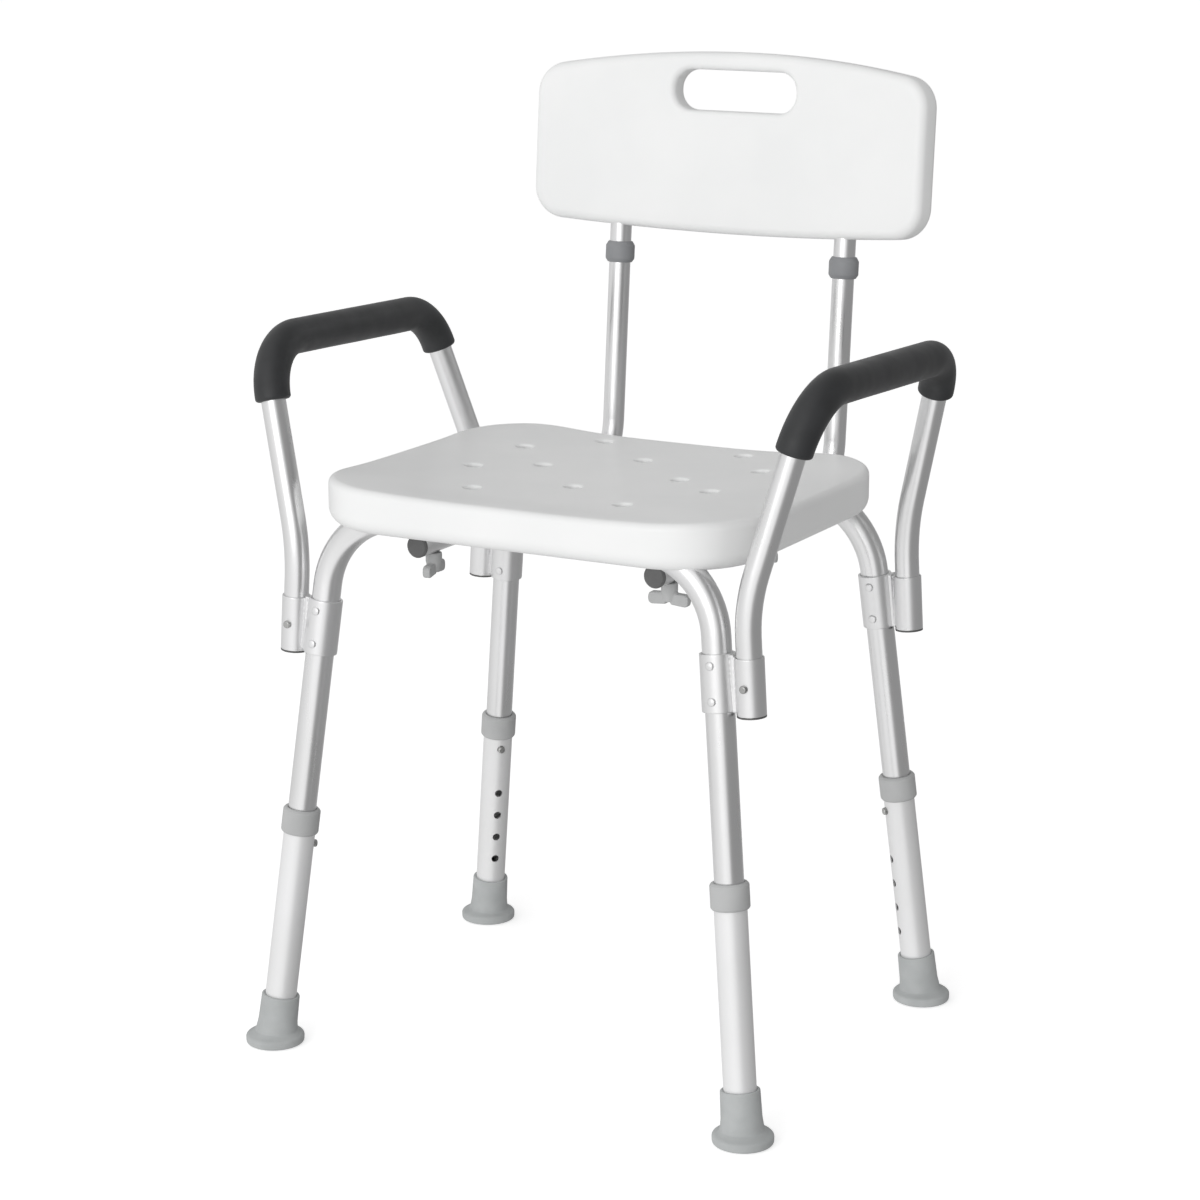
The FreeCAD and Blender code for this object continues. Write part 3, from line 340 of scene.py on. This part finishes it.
class Finish:
    """A procedural material on the Principled shader."""

    def __init__(self, name, roughness, metallic=0.0, **shader):
        self.material = bpy.data.materials.new(name)
        self.material.use_nodes = True
        self.nodes = self.material.node_tree.nodes
        self.links = self.material.node_tree.links
        self.shader = self.nodes["Principled BSDF"]
        self.shader.inputs["Roughness"].default_value = roughness
        self.shader.inputs["Metallic"].default_value = metallic
        for socket, value in shader.items():
            self.shader.inputs[socket.replace("_", " ")].default_value = value
        self.height = None

    def coordinates(self, stretch=(1, 1, 1)):
        place = self.nodes.new("ShaderNodeTexCoord")
        mapping = self.nodes.new("ShaderNodeMapping")
        mapping.inputs["Scale"].default_value = stretch
        self.links.new(place.outputs["Object"], mapping.inputs["Vector"])
        return mapping.outputs["Vector"]

    def noise(self, scale, detail=3.0, stretch=(1, 1, 1)):
        texture = self.nodes.new("ShaderNodeTexNoise")
        texture.inputs["Scale"].default_value = scale
        texture.inputs["Detail"].default_value = detail
        self.links.new(self.coordinates(stretch), texture.inputs["Vector"])
        return texture.outputs["Fac"]

    def cells(self, scale):
        texture = self.nodes.new("ShaderNodeTexVoronoi")
        texture.inputs["Scale"].default_value = scale
        self.links.new(self.coordinates(), texture.inputs["Vector"])
        return texture.outputs["Distance"]

    def ramp(self, factor, stops):
        ramp = self.nodes.new("ShaderNodeValToRGB")
        while len(ramp.color_ramp.elements) < len(stops):
            ramp.color_ramp.elements.new(0.5)
        for element, (position, colour) in zip(ramp.color_ramp.elements, stops):
            element.position = position
            element.color = (*colour, 1)
        self.links.new(factor, ramp.inputs["Fac"])
        return ramp.outputs["Color"]

    def colour(self, factor, dark, light, low=0.35, high=0.65):
        self.links.new(self.ramp(factor, [(low, dark), (high, light)]), self.shader.inputs["Base Color"])
        return self

    def rough(self, factor, low, high):
        spread = self.nodes.new("ShaderNodeMapRange")
        spread.inputs["From Min"].default_value = 0.3
        spread.inputs["From Max"].default_value = 0.7
        spread.inputs["To Min"].default_value = low
        spread.inputs["To Max"].default_value = high
        self.links.new(factor, spread.inputs["Value"])
        self.links.new(spread.outputs["Result"], self.shader.inputs["Roughness"])
        return self

    def bump(self, factor, distance, strength=1.0):
        """Stack a bump whose full height is distance millimetres."""
        bump = self.nodes.new("ShaderNodeBump")
        bump.inputs["Distance"].default_value = distance * MM
        bump.inputs["Strength"].default_value = strength
        self.links.new(factor, bump.inputs["Height"])
        if self.height is not None:
            self.links.new(self.height, bump.inputs["Normal"])
        self.height = bump.outputs["Normal"]
        self.links.new(self.height, self.shader.inputs["Normal"])
        return self


def aluminium(name, tone, low, high, metallic=1.0):
    finish = Finish(name, 0.3, metallic)
    finish.colour(finish.noise(9, 3), (tone - 0.035,) * 3, (tone, tone, tone + 0.005))
    finish.rough(finish.noise(70, 3, (1, 1, 0.12)), low, high)
    finish.bump(finish.noise(90, 2, (1, 1, 0.2)), 0.02)
    return finish.material


tube_metal = aluminium("satin_tube", 0.86, 0.26, 0.34)
lower_metal = aluminium("brushed_tube", 0.86, 0.40, 0.48, 0.45)
cast_metal = aluminium("satin_extrusion", 0.86, 0.36, 0.44)

white = Finish("white_moulding", 0.42, Coat_Weight=0.12, Coat_Roughness=0.25, Subsurface_Weight=0.04)
white.shader.inputs["Subsurface Radius"].default_value = (0.004, 0.004, 0.004)
white.colour(white.noise(9, 3), (0.855, 0.86, 0.858), (0.885, 0.888, 0.885))
white.rough(white.noise(60, 3), 0.38, 0.48)
white.bump(white.noise(14, 2), 0.12).bump(white.noise(1500, 2), 0.02)

grey = Finish("grey_plastic", 0.5)
grey.colour(grey.noise(30, 3), (0.435, 0.44, 0.44), (0.475, 0.48, 0.48))
grey.rough(grey.noise(300, 3), 0.42, 0.55)
grey.bump(grey.noise(1800, 2), 0.03)

collar_grey = Finish("collar_grey", 0.5)
collar_grey.colour(collar_grey.noise(30, 3), (0.235, 0.24, 0.25), (0.27, 0.275, 0.285))
collar_grey.rough(collar_grey.noise(300, 3), 0.42, 0.55)
collar_grey.bump(collar_grey.noise(1800, 2), 0.03)

rubber = Finish("grey_rubber", 0.62)
rubber.colour(rubber.noise(45, 4), (0.415, 0.43, 0.43), (0.465, 0.48, 0.48))
rubber.rough(rubber.noise(250, 3), 0.55, 0.72)
rubber.bump(rubber.noise(1200, 3), 0.06)

dark = Finish("dark_plastic", 0.5)
dark.colour(dark.noise(40, 3), (0.105, 0.105, 0.105), (0.13, 0.13, 0.13))
dark.rough(dark.noise(300, 3), 0.42, 0.55)
dark.bump(dark.noise(1800, 2), 0.03)

foam = Finish("charcoal_foam", 0.5, Sheen_Weight=0.08, Sheen_Roughness=0.4)
foam.colour(foam.noise(35, 3), (0.020, 0.021, 0.022), (0.027, 0.028, 0.030))
foam.rough(foam.noise(50, 3), 0.46, 0.58)
foam.bump(foam.noise(30, 2), 0.12).bump(foam.cells(1400), 0.015)

steel = Finish("stainless_steel", 0.28, 1.0)
steel.colour(steel.noise(80, 2), (0.42, 0.42, 0.415), (0.5, 0.5, 0.49))
steel.rough(steel.noise(700, 3), 0.22, 0.34)
steel.bump(steel.noise(1500, 2), 0.01)

brass = Finish("brass_insert", 0.35, 1.0)
brass.colour(brass.noise(60, 2), (0.66, 0.50, 0.24), (0.74, 0.58, 0.30))
brass.rough(brass.noise(500, 2), 0.3, 0.42)
brass.bump(brass.noise(1200, 2), 0.01)

BY_SLOT = {
    "satin_aluminium": tube_metal, "socket_aluminium": cast_metal, "rivet_aluminium": cast_metal,
    "white_moulding": white.material, "grey_plastic": grey.material, "grey_rubber": rubber.material,
    "dark_grey_plastic": dark.material, "charcoal_foam": foam.material,
    "stainless_steel": steel.material, "insert_brass": brass.material,
}
for entry in frame["record"]["subparts"]:
    node = frame["nodes"][entry["node"]]
    node.data.materials.clear()
    is_lower = entry["node"].endswith("_lower_leg")
    node.data.materials.append(lower_metal if is_lower else BY_SLOT[entry["material_slot"]])
    for face in node.data.polygons:
        face.use_smooth = True
    node.data.set_sharp_from_angle(angle=math.radians(35))


# ------------------------------------------------------------------ seat

def seat():
    low, high = span("seat")
    pad_bottom = low.z
    high_z = high.z
    front, rear = low.y, high.y
    centre_y = (front + rear) / 2
    half_wide = (high.x - low.x) / 2
    half_deep = (rear - front) / 2
    corner = 83
    drain_radius = 7.0
    side_dip, side_reach = 6, 172
    end_dip, end_reach = 3, 142
    lip_dip, lip_deep = 3, 60

    def outline(inset):
        return rounded_box_loop(half_wide - inset, half_deep - inset, corner - inset, (0, centre_y))

    def eased(t):
        return t * t * (3 - 2 * t)

    def hollow(spot):
        """How far the seat's top lies below its highest level."""
        across = max(0, 1 - (spot.x / side_reach) ** 2)
        along = max(0, 1 - ((spot.y - middle_y) / end_reach) ** 2)
        lip = max(0, (front + lip_deep - spot.y) / lip_deep)
        across = (side_dip - lip_dip * eased(lip)) * eased(across)
        along = end_dip * eased(along)
        return (across ** 4 + along ** 4) ** 0.25

    def hole(x, y):
        return lambda inset: ring_loop((x, y + middle_y), drain_radius + inset)

    slab = plate(
        "seat_slab", outline, [hole(x, y) for x, y in DRAINS],
        top_rim=7, low_rim=15, hole_rim=3.2, step=8,
        top_at=lambda spot: high_z - hollow(spot), low_at=lambda spot: SEAT_LOW,
        to_space=lambda spot, height: (spot.x, spot.y, height),
    )
    pads = []
    for s, clamp in itertools.product(SIDES.values(), CLAMPS):
        x = s * RAIL_X
        y = clamp + middle_y
        pad = block((x - 13.5, y - 18, pad_bottom), (x + 13.5, y + 18, SEAT_LOW + 4))
        pads.append(beveled(pad, width=2))
    whole = join("seat_moulding", [slab] + pads, 50)
    finish_piece(whole, "frame", "white_moulding", white.material, "seat")


# ------------------------------------------------------------------ backrest

def post_frame():
    """Z up the backrest posts from the top of the lower posts, X to the rear."""
    up = Vector(joints["backrest_lift"]["axis"])
    slope = up.y / up.z
    y = RAIL_BEND_Y + (POST_TOP - RAIL_Z) * slope + middle_y
    return facing((0, y, POST_TOP), up, (0, 1, 0))


def backrest():
    half = 204.5
    low = 15.5
    high = low + 171
    crown = 1050
    belly = 2500
    corner = 30
    curve = 960
    half_thick = 14
    bend_centre = -math.sqrt(curve ** 2 - RAIL_X ** 2)

    def outline(inset):
        radius = corner - inset
        side = half - corner
        top_centre = high - crown
        low_centre = low + belly
        top = top_centre + math.sqrt((crown - corner) ** 2 - side ** 2)
        bottom = low_centre - math.sqrt((belly - corner) ** 2 - side ** 2)
        top_turn = math.atan2(side, top - top_centre)
        low_turn = math.atan2(side, low_centre - bottom)
        loop = []

        def arc(x, z, reach, start, end, steps):
            for k in range(steps):
                angle = start + (end - start) * k / steps
                loop.append(Vector((x + reach * math.cos(angle), z + reach * math.sin(angle))))

        quarter = math.pi / 2
        arc(side, bottom, radius, -quarter + low_turn, 0, 14)
        for k in range(16):
            loop.append(Vector((half - inset, bottom + (top - bottom) * k / 16)))
        arc(side, top, radius, 0, quarter - top_turn, 14)
        arc(0, top_centre, crown - inset, quarter - top_turn, quarter + top_turn, 48)
        arc(-side, top, radius, quarter + top_turn, 2 * quarter, 14)
        for k in range(16):
            loop.append(Vector((-half + inset, top + (bottom - top) * k / 16)))
        arc(-side, bottom, radius, 2 * quarter, 3 * quarter - low_turn, 14)
        arc(0, low_centre, belly - inset, 3 * quarter - low_turn, 3 * quarter + low_turn, 48)
        return loop

    def slot(inset):
        return rounded_box_loop(64 + inset, 19 + inset, 18 + inset, (0, low + 134.5), (20, 2), 12)

    def to_space(spot, depth):
        angle = math.asin(spot.x / curve)
        reach = curve + depth
        return (bend_centre + reach * math.cos(angle), reach * math.sin(angle), spot.y)

    panel = plate(
        "backrest_moulding", outline, [slot], top_rim=9, low_rim=9, hole_rim=6.2, step=8,
        top_at=lambda spot: half_thick, low_at=lambda spot: -half_thick,
        to_space=to_space, place=post_frame(),
    )
    finish_piece(panel, "back", "white_moulding", white.material, "backrest")


# ------------------------------------------------------------------ armrests

def bent_line(corners, bends, step=2.5):
    """Points along straight runs and tangent arcs."""
    line = []
    here = corners[0]
    for before, corner, after, bend in zip(corners, corners[1:], corners[2:], bends):
        back = (before - corner).normalized()
        ahead = (after - corner).normalized()
        half = back.angle(ahead) / 2
        reach = bend / math.tan(half)
        centre = corner + (back + ahead).normalized() * bend / math.sin(half)
        start = corner + back * reach
        end = corner + ahead * reach
        count = max(1, round((start - here).length / step))
        line += [here.lerp(start, k / count) for k in range(count)]
        a = start - centre
        b = end - centre
        turn = a.angle(b)
        steps = max(2, round(bend * turn / step))
        for k in range(steps):
            t = k / steps
            spoke = a * math.sin((1 - t) * turn) + b * math.sin(t * turn)
            line.append(centre + spoke / math.sin(turn))
        here = end
    count = max(1, round((corners[-1] - here).length / step))
    line += [here.lerp(corners[-1], k / count) for k in range(count + 1)]
    return line


def swept(name, line, radius_at, steps):
    """An open tube skin along a line; radius_at(distance, total) gives its radius."""
    lengths = [0.0]
    for a, b in zip(line, line[1:]):
        lengths.append(lengths[-1] + (b - a).length)
    points = []
    faces = []
    side = None
    for k, spot in enumerate(line):
        ahead = (line[min(k + 1, len(line) - 1)] - line[max(k - 1, 0)]).normalized()
        if side is None:
            side = ahead.cross(Vector((0.3, 1, 0.2))).normalized()
        side = (side - ahead * side.dot(ahead)).normalized()
        other = ahead.cross(side)
        radius = radius_at(lengths[k], lengths[-1])
        for turn in range(steps):
            angle = 2 * math.pi * turn / steps
            points.append(spot + (side * math.cos(angle) + other * math.sin(angle)) * radius)
    for k in range(len(line) - 1):
        for turn in range(steps):
            ahead = (turn + 1) % steps
            here, there = k * steps, (k + 1) * steps
            faces.append((here + turn, here + ahead, there + ahead, there + turn))
    return build(name, points, faces, smooth=60)


def grip(side_name, s):
    """The foam sleeve on the top of an armrest, with soft rolled ends."""
    kink = 93.5
    top_x = s * 268.5
    kink_x = s * (BARREL_X - kink * math.tan(math.radians(BARREL_LEAN)))
    kink_z = SOCKET_LOW + kink
    corners = [
        Vector((kink_x, -BARREL_Y[-1] + middle_y, kink_z)), Vector((top_x, -140 + middle_y, 639.5)),
        Vector((top_x, 135 + middle_y, 631)), Vector((kink_x, BARREL_Y[1] + middle_y, kink_z)),
    ]

    def at_height(low, high, height):
        return low.lerp(high, (height - low.z) / (high.z - low.z))

    front_end = at_height(corners[0], corners[1], 589)
    rear_end = at_height(corners[3], corners[2], 594)
    step = 1.6
    line = bent_line([front_end, corners[1], corners[2], rear_end], [55, 42], step)
    around = 56
    inner = 11.15
    outer = 16.25
    roll = 3.2

    def skin(at, total):
        edge = min(at, total - at)
        if edge >= roll:
            return outer
        return outer - roll + math.sqrt(max(0, roll ** 2 - (roll - edge) ** 2))

    dense = []
    total = sum((b - a).length for a, b in zip(line, line[1:]))
    ends = [0, 0.15, 0.5, 1.0, 1.6, 2.4, 3.2]
    between = [4 + step * k for k in range(int((total - 8) / step))]
    walked = 0.0
    here = 0
    for mark in ends + between + [total - end for end in reversed(ends)]:
        while here < len(line) - 2 and walked + (line[here + 1] - line[here]).length < mark:
            walked += (line[here + 1] - line[here]).length
            here += 1
        run = (line[here + 1] - line[here]).length
        dense.append(line[here].lerp(line[here + 1], (mark - walked) / run))
    sleeve = swept(f"{side_name}_grip_foam", dense, skin, around)
    bore = swept("bore", dense, lambda at, total: inner, around)
    outside = [v.co / MM for v in sleeve.data.vertices]
    bore_points = [v.co / MM for v in bore.data.vertices]
    centre = Vector((top_x, middle_y, 600))
    for k, point in enumerate(outside):
        wobble = noise.noise((point - centre) * 0.02) * 0.25
        axis = dense[k // around]
        point += (point - axis).normalized() * min(0, wobble - 0.12)
    faces = [tuple(face.vertices) for face in sleeve.data.polygons]
    first = len(outside)
    faces += [tuple(first + i for i in reversed(face.vertices)) for face in bore.data.polygons]
    last = (len(dense) - 1) * around
    for turn in range(around):
        ahead = (turn + 1) % around
        faces.append((turn, first + turn, first + ahead, ahead))
        faces.append((last + ahead, first + last + ahead, first + last + turn, last + turn))
    bpy.data.objects.remove(bore)
    bpy.data.objects.remove(sleeve)
    whole = build(f"{side_name}_grip_foam", outside + bore_points, faces, smooth=60)
    armrest = f"{side_name}_armrest"
    finish_piece(whole, armrest, "charcoal_foam", foam.material, f"{armrest}_grip")


# ------------------------------------------------------------------ leg collars, tips, back collars

def leg_frame(corner, s, e):
    """Z up the leg from the floor, X diagonally towards the middle of the chair."""
    up = Vector(joints[f"{corner}_leg_height"]["axis"])
    return facing(mounts[f"{corner}_foot"], up, (-s, -e, 0))


def leg_collar(corner, s, e):
    place = leg_frame(corner, s, e) @ Matrix.Translation((0, 0, LEG_TOP))
    profile = softened([
        (14.33, -21), (15.6, -21), (17, -19.2), (17, 0.3),
        (15.2, 2.4), (12.85, 2.4), (12.85, 0), (14.33, 0),
    ], 0.8)
    ring = lathe(profile, place, f"{corner}_collar_ring", 96)
    finish_piece(ring, f"{corner}_leg", "grey_plastic", grey.material, f"{corner}_leg_collar")


def rubber_tip(corner, s, e):
    foot = Matrix.Translation(mounts[f"{corner}_foot"])
    sleeve = lathe(softened([
        (0.01, 5), (21.5, 5), (19.2, 12), (17.9, 22), (17.3, 47), (14.3, 47), (14.3, 13), (0.01, 13),
    ], 1.2), leg_frame(corner, s, e), steps=96)
    flange = lathe(softened([
        (0.01, 0.6), (25.4, 0.6), (26.6, 2), (26.8, 7.4),
        (25.4, 9.0), (22, 10.5), (19, 12.5), (0.01, 12.5),
    ], 1.2), foot, steps=96)
    tip = melted(join(f"{corner}_tip_rubber", [sleeve, flange]), voxel=0.55, rounds=6)
    finish_piece(tip, f"{corner}_leg", "grey_rubber", rubber.material, f"{corner}_rubber_tip")


def back_collar(side_name, s):
    place = post_frame() @ Matrix.Translation((0, -s * RAIL_X, 0))
    profile = softened([
        (10.3, -18), (11.6, -18), (14, -14.5), (14, -1.8), (11.6, 2.2), (10.3, 2.2),
    ], 0.7)
    ring = lathe(profile, place, f"{side_name}_collar_ring", 96)
    finish_piece(ring, "frame", "dark_grey_plastic", collar_grey.material, f"{side_name}_back_collar")


# ------------------------------------------------------------------ arm sockets and rivets

def leg_at(corner, height):
    """The point on a leg's axis at a height above the floor, and the axis."""
    up = Vector(joints[f"{corner}_leg_height"]["axis"]).normalized()
    return mounts[f"{corner}_foot"] + up * (height / up.z), up


def arm_socket(corner, s, e):
    """An extrusion of two tubes and a web, its outside corners and creases softened."""
    base, up = leg_at(corner, SOCKET_LOW)
    side_name = corner.split("_")[1]
    lift = Vector(joints[f"{side_name}_armrest_lift"]["axis"]).normalized()
    foot = Vector((s * BARREL_X, e * BARREL_Y[e] + middle_y, SOCKET_LOW))
    leg = facing(base, up, (1, 0, 0))
    barrel = facing(foot, lift, (1, 0, 0))
    high = SOCKET_TALL - 0.1

    def tube(inner, outer, soft, place):
        profile = [(inner, 0.1), (outer, 0.1), (outer, high), (inner, high)]
        return lathe(softened(profile, soft), place, steps=96)

    sleeve = tube(12.78, 15.3, 0.7, leg)
    shell = tube(11.2, 12.72, 0.5, barrel)
    gap = foot - base
    web_frame = facing(base, up + lift, gap)
    web = block((13.6, -6.3, 0.4), (gap.length - 12.0, 6.3, SOCKET_TALL - 0.6), web_frame)
    pieces = [sleeve, shell, beveled(web, width=0.6)]
    body = melted(join(f"{corner}_socket_extrusion", pieces), voxel=0.5, rounds=3)
    finish_piece(body, "frame", "socket_aluminium", cast_metal, f"{corner}_arm_socket")


def socket_rivets():
    """Domed rivets, front to back through each sleeve and leg."""
    dome = [
        (3.9, 15.2), (3.85, 15.7), (3.3, 16.4), (2.2, 16.75), (0.01, 16.9),
        (0.01, 0.1), (2.35, 0.1), (2.35, 15.2),
    ]
    made = []
    for (corner, _, _), height, flip in itertools.product(CORNERS, RIVET_HEIGHTS, (0, math.pi)):
        spot, up = leg_at(corner, height)
        ahead = Vector((0, -1, 0))
        out = facing(spot, ahead - up * up.dot(ahead), up) @ Matrix.Rotation(flip, 4, "X")
        made.append(lathe(dome, out, steps=40))
    finish_piece(join("rivet_set", made, 50), "frame", "rivet_aluminium", cast_metal, "socket_rivets")


# ------------------------------------------------------------------ wing knobs

def wing_knob(corner, turn):
    pivot = Vector(joints[f"{corner}_wing_turn"]["pos_m"]) / MM
    place = Matrix.Translation(pivot) @ Matrix.Rotation(math.radians(turn), 4, "Z")
    hub_profile = [(0.01, -17), (5.6, -17), (7.4, -8), (7.4, -0.2), (0.01, -0.2)]
    hub = lathe(softened(hub_profile, 0.9), place, steps=64)
    shapes = [hub]
    ear = [(2, -8.8), (16.6, -9.6), (19.2, -11.4), (19.7, -15), (19.2, -18.8), (16.6, -20.6), (2, -19.4)]
    for way in (-1, 1):
        points = [(way * x, y, z) for y in (-3.7, 3.7) for x, z in ear]
        count = len(ear)
        faces = [tuple(range(count)), tuple(range(2 * count - 1, count - 1, -1))]
        faces += [(k, count + k, count + (k + 1) % count, (k + 1) % count) for k in range(count)]
        if way < 0:
            faces = [face[::-1] for face in faces]
        shapes.append(beveled(build("ear", points, faces, place), width=1.8))
    knob = melted(join(f"{corner}_wing_shape", shapes), voxel=0.5, rounds=5)
    stud = lathe([(0.01, -3), (2.9, -3), (2.9, 29), (0.01, 29)], place, steps=40)
    whole = join(f"{corner}_wing_bolt", [knob, stud], 60)
    finish_piece(whole, f"{corner}_wing", "grey_plastic", grey.material, f"{corner}_wing_knob")


# ------------------------------------------------------------------ build everything

seat()
backrest()
for side_name, s in SIDES.items():
    grip(side_name, s)
    back_collar(side_name, s)
for corner, s, e in CORNERS:
    leg_collar(corner, s, e)
    rubber_tip(corner, s, e)
    arm_socket(corner, s, e)
socket_rivets()
for corner, turn in KNOB_TURNS.items():
    wing_knob(corner, turn)


# ------------------------------------------------------------------ floor, light and camera

WIDE = 30000
floor_corners = [(-WIDE, -WIDE, 0), (WIDE, -WIDE, 0), (WIDE, WIDE, 0), (-WIDE, WIDE, 0)]
floor = build("floor", floor_corners, [(0, 1, 2, 3)])
paper = Finish("pale_floor", 0.9)
paper.colour(paper.noise(0.7, 2), (0.80, 0.80, 0.80), (0.81, 0.81, 0.81))
paper.shader.inputs["Emission Color"].default_value = (1, 1, 1, 1)
paper.shader.inputs["Emission Strength"].default_value = 0.52
floor.data.materials.append(paper.material)
floor.visible_diffuse = False
floor.visible_glossy = False


def studio(stops):
    """Light that comes from all round, its strength given by compass angle from the front."""
    world = bpy.data.worlds.new("studio")
    bpy.context.scene.world = world
    world.use_nodes = True
    nodes = world.node_tree.nodes
    links = world.node_tree.links
    coordinates = nodes.new("ShaderNodeTexCoord")
    split = nodes.new("ShaderNodeSeparateXYZ")
    flip = nodes.new("ShaderNodeMath")
    flip.operation = "MULTIPLY"
    flip.inputs[1].default_value = -1
    compass = nodes.new("ShaderNodeMath")
    compass.operation = "ARCTAN2"
    spread = nodes.new("ShaderNodeMapRange")
    spread.inputs["From Min"].default_value = -math.pi
    spread.inputs["From Max"].default_value = math.pi
    ramp = nodes.new("ShaderNodeValToRGB")
    while len(ramp.color_ramp.elements) < len(stops):
        ramp.color_ramp.elements.new(0.5)
    for element, (angle, strength) in zip(ramp.color_ramp.elements, stops):
        element.position = (angle + 180) / 360
        element.color = (strength, strength, strength, 1)
    path = nodes.new("ShaderNodeLightPath")
    seen = nodes.new("ShaderNodeMix")
    seen.data_type = "RGBA"
    seen.inputs["B"].default_value = (1, 1, 1, 1)
    links.new(coordinates.outputs["Generated"], split.inputs["Vector"])
    links.new(split.outputs["Y"], flip.inputs[0])
    links.new(split.outputs["X"], compass.inputs[0])
    links.new(flip.outputs["Value"], compass.inputs[1])
    links.new(compass.outputs["Value"], spread.inputs["Value"])
    links.new(spread.outputs["Result"], ramp.inputs["Fac"])
    links.new(path.outputs["Is Camera Ray"], seen.inputs["Factor"])
    links.new(ramp.outputs["Color"], seen.inputs["A"])
    links.new(seen.outputs["Result"], nodes["Background"].inputs["Color"])


studio([
    (-180, 0.42), (-120, 0.68), (-30, 0.90), (22, 1.0), (37, 0.97),
    (48, 0.40), (62, 0.31), (150, 0.31), (180, 0.42),
])


def softbox(name, spot, target, size, power, glossy=True):
    light = bpy.data.lights.new(name, "AREA")
    light.shape = "RECTANGLE"
    light.size, light.size_y = size
    light.energy = power
    thing = bpy.data.objects.new(name, light)
    thing.location = spot
    thing.visible_glossy = glossy
    thing.rotation_euler = (Vector(target) - Vector(spot)).to_track_quat("-Z", "Y").to_euler()
    bpy.context.scene.collection.objects.link(thing)


softbox("key", (0.1, -3.4, 1.3), (0, 0, 0.5), (2.2, 1.6), 14)
softbox("key_soft", (0.1, -3.4, 1.3), (0, 0, 0.5), (2.2, 1.6), 20.5, glossy=False)
softbox("fill", (3.6, -0.6, 1.2), (0, 0, 0.5), (2.0, 2.0), 18, glossy=False)

camera = bpy.data.objects.new("camera", bpy.data.cameras.new("camera"))
bpy.context.scene.collection.objects.link(camera)
azimuth = math.radians(28.66)
elevation = math.radians(13.96)
level = math.cos(elevation)
look = Vector((-math.sin(azimuth) * level, math.cos(azimuth) * level, -math.sin(elevation)))
camera.location = Vector((1337.94, -2455.43 + middle_y, 1099.82)) * MM
camera.rotation_euler = look.to_track_quat("-Z", "Y").to_euler()
camera.data.lens = 95.46
camera.data.sensor_width = 36
camera.data.clip_end = 200
bpy.context.scene.camera = camera
bpy.context.scene.view_settings.view_transform = "Standard"
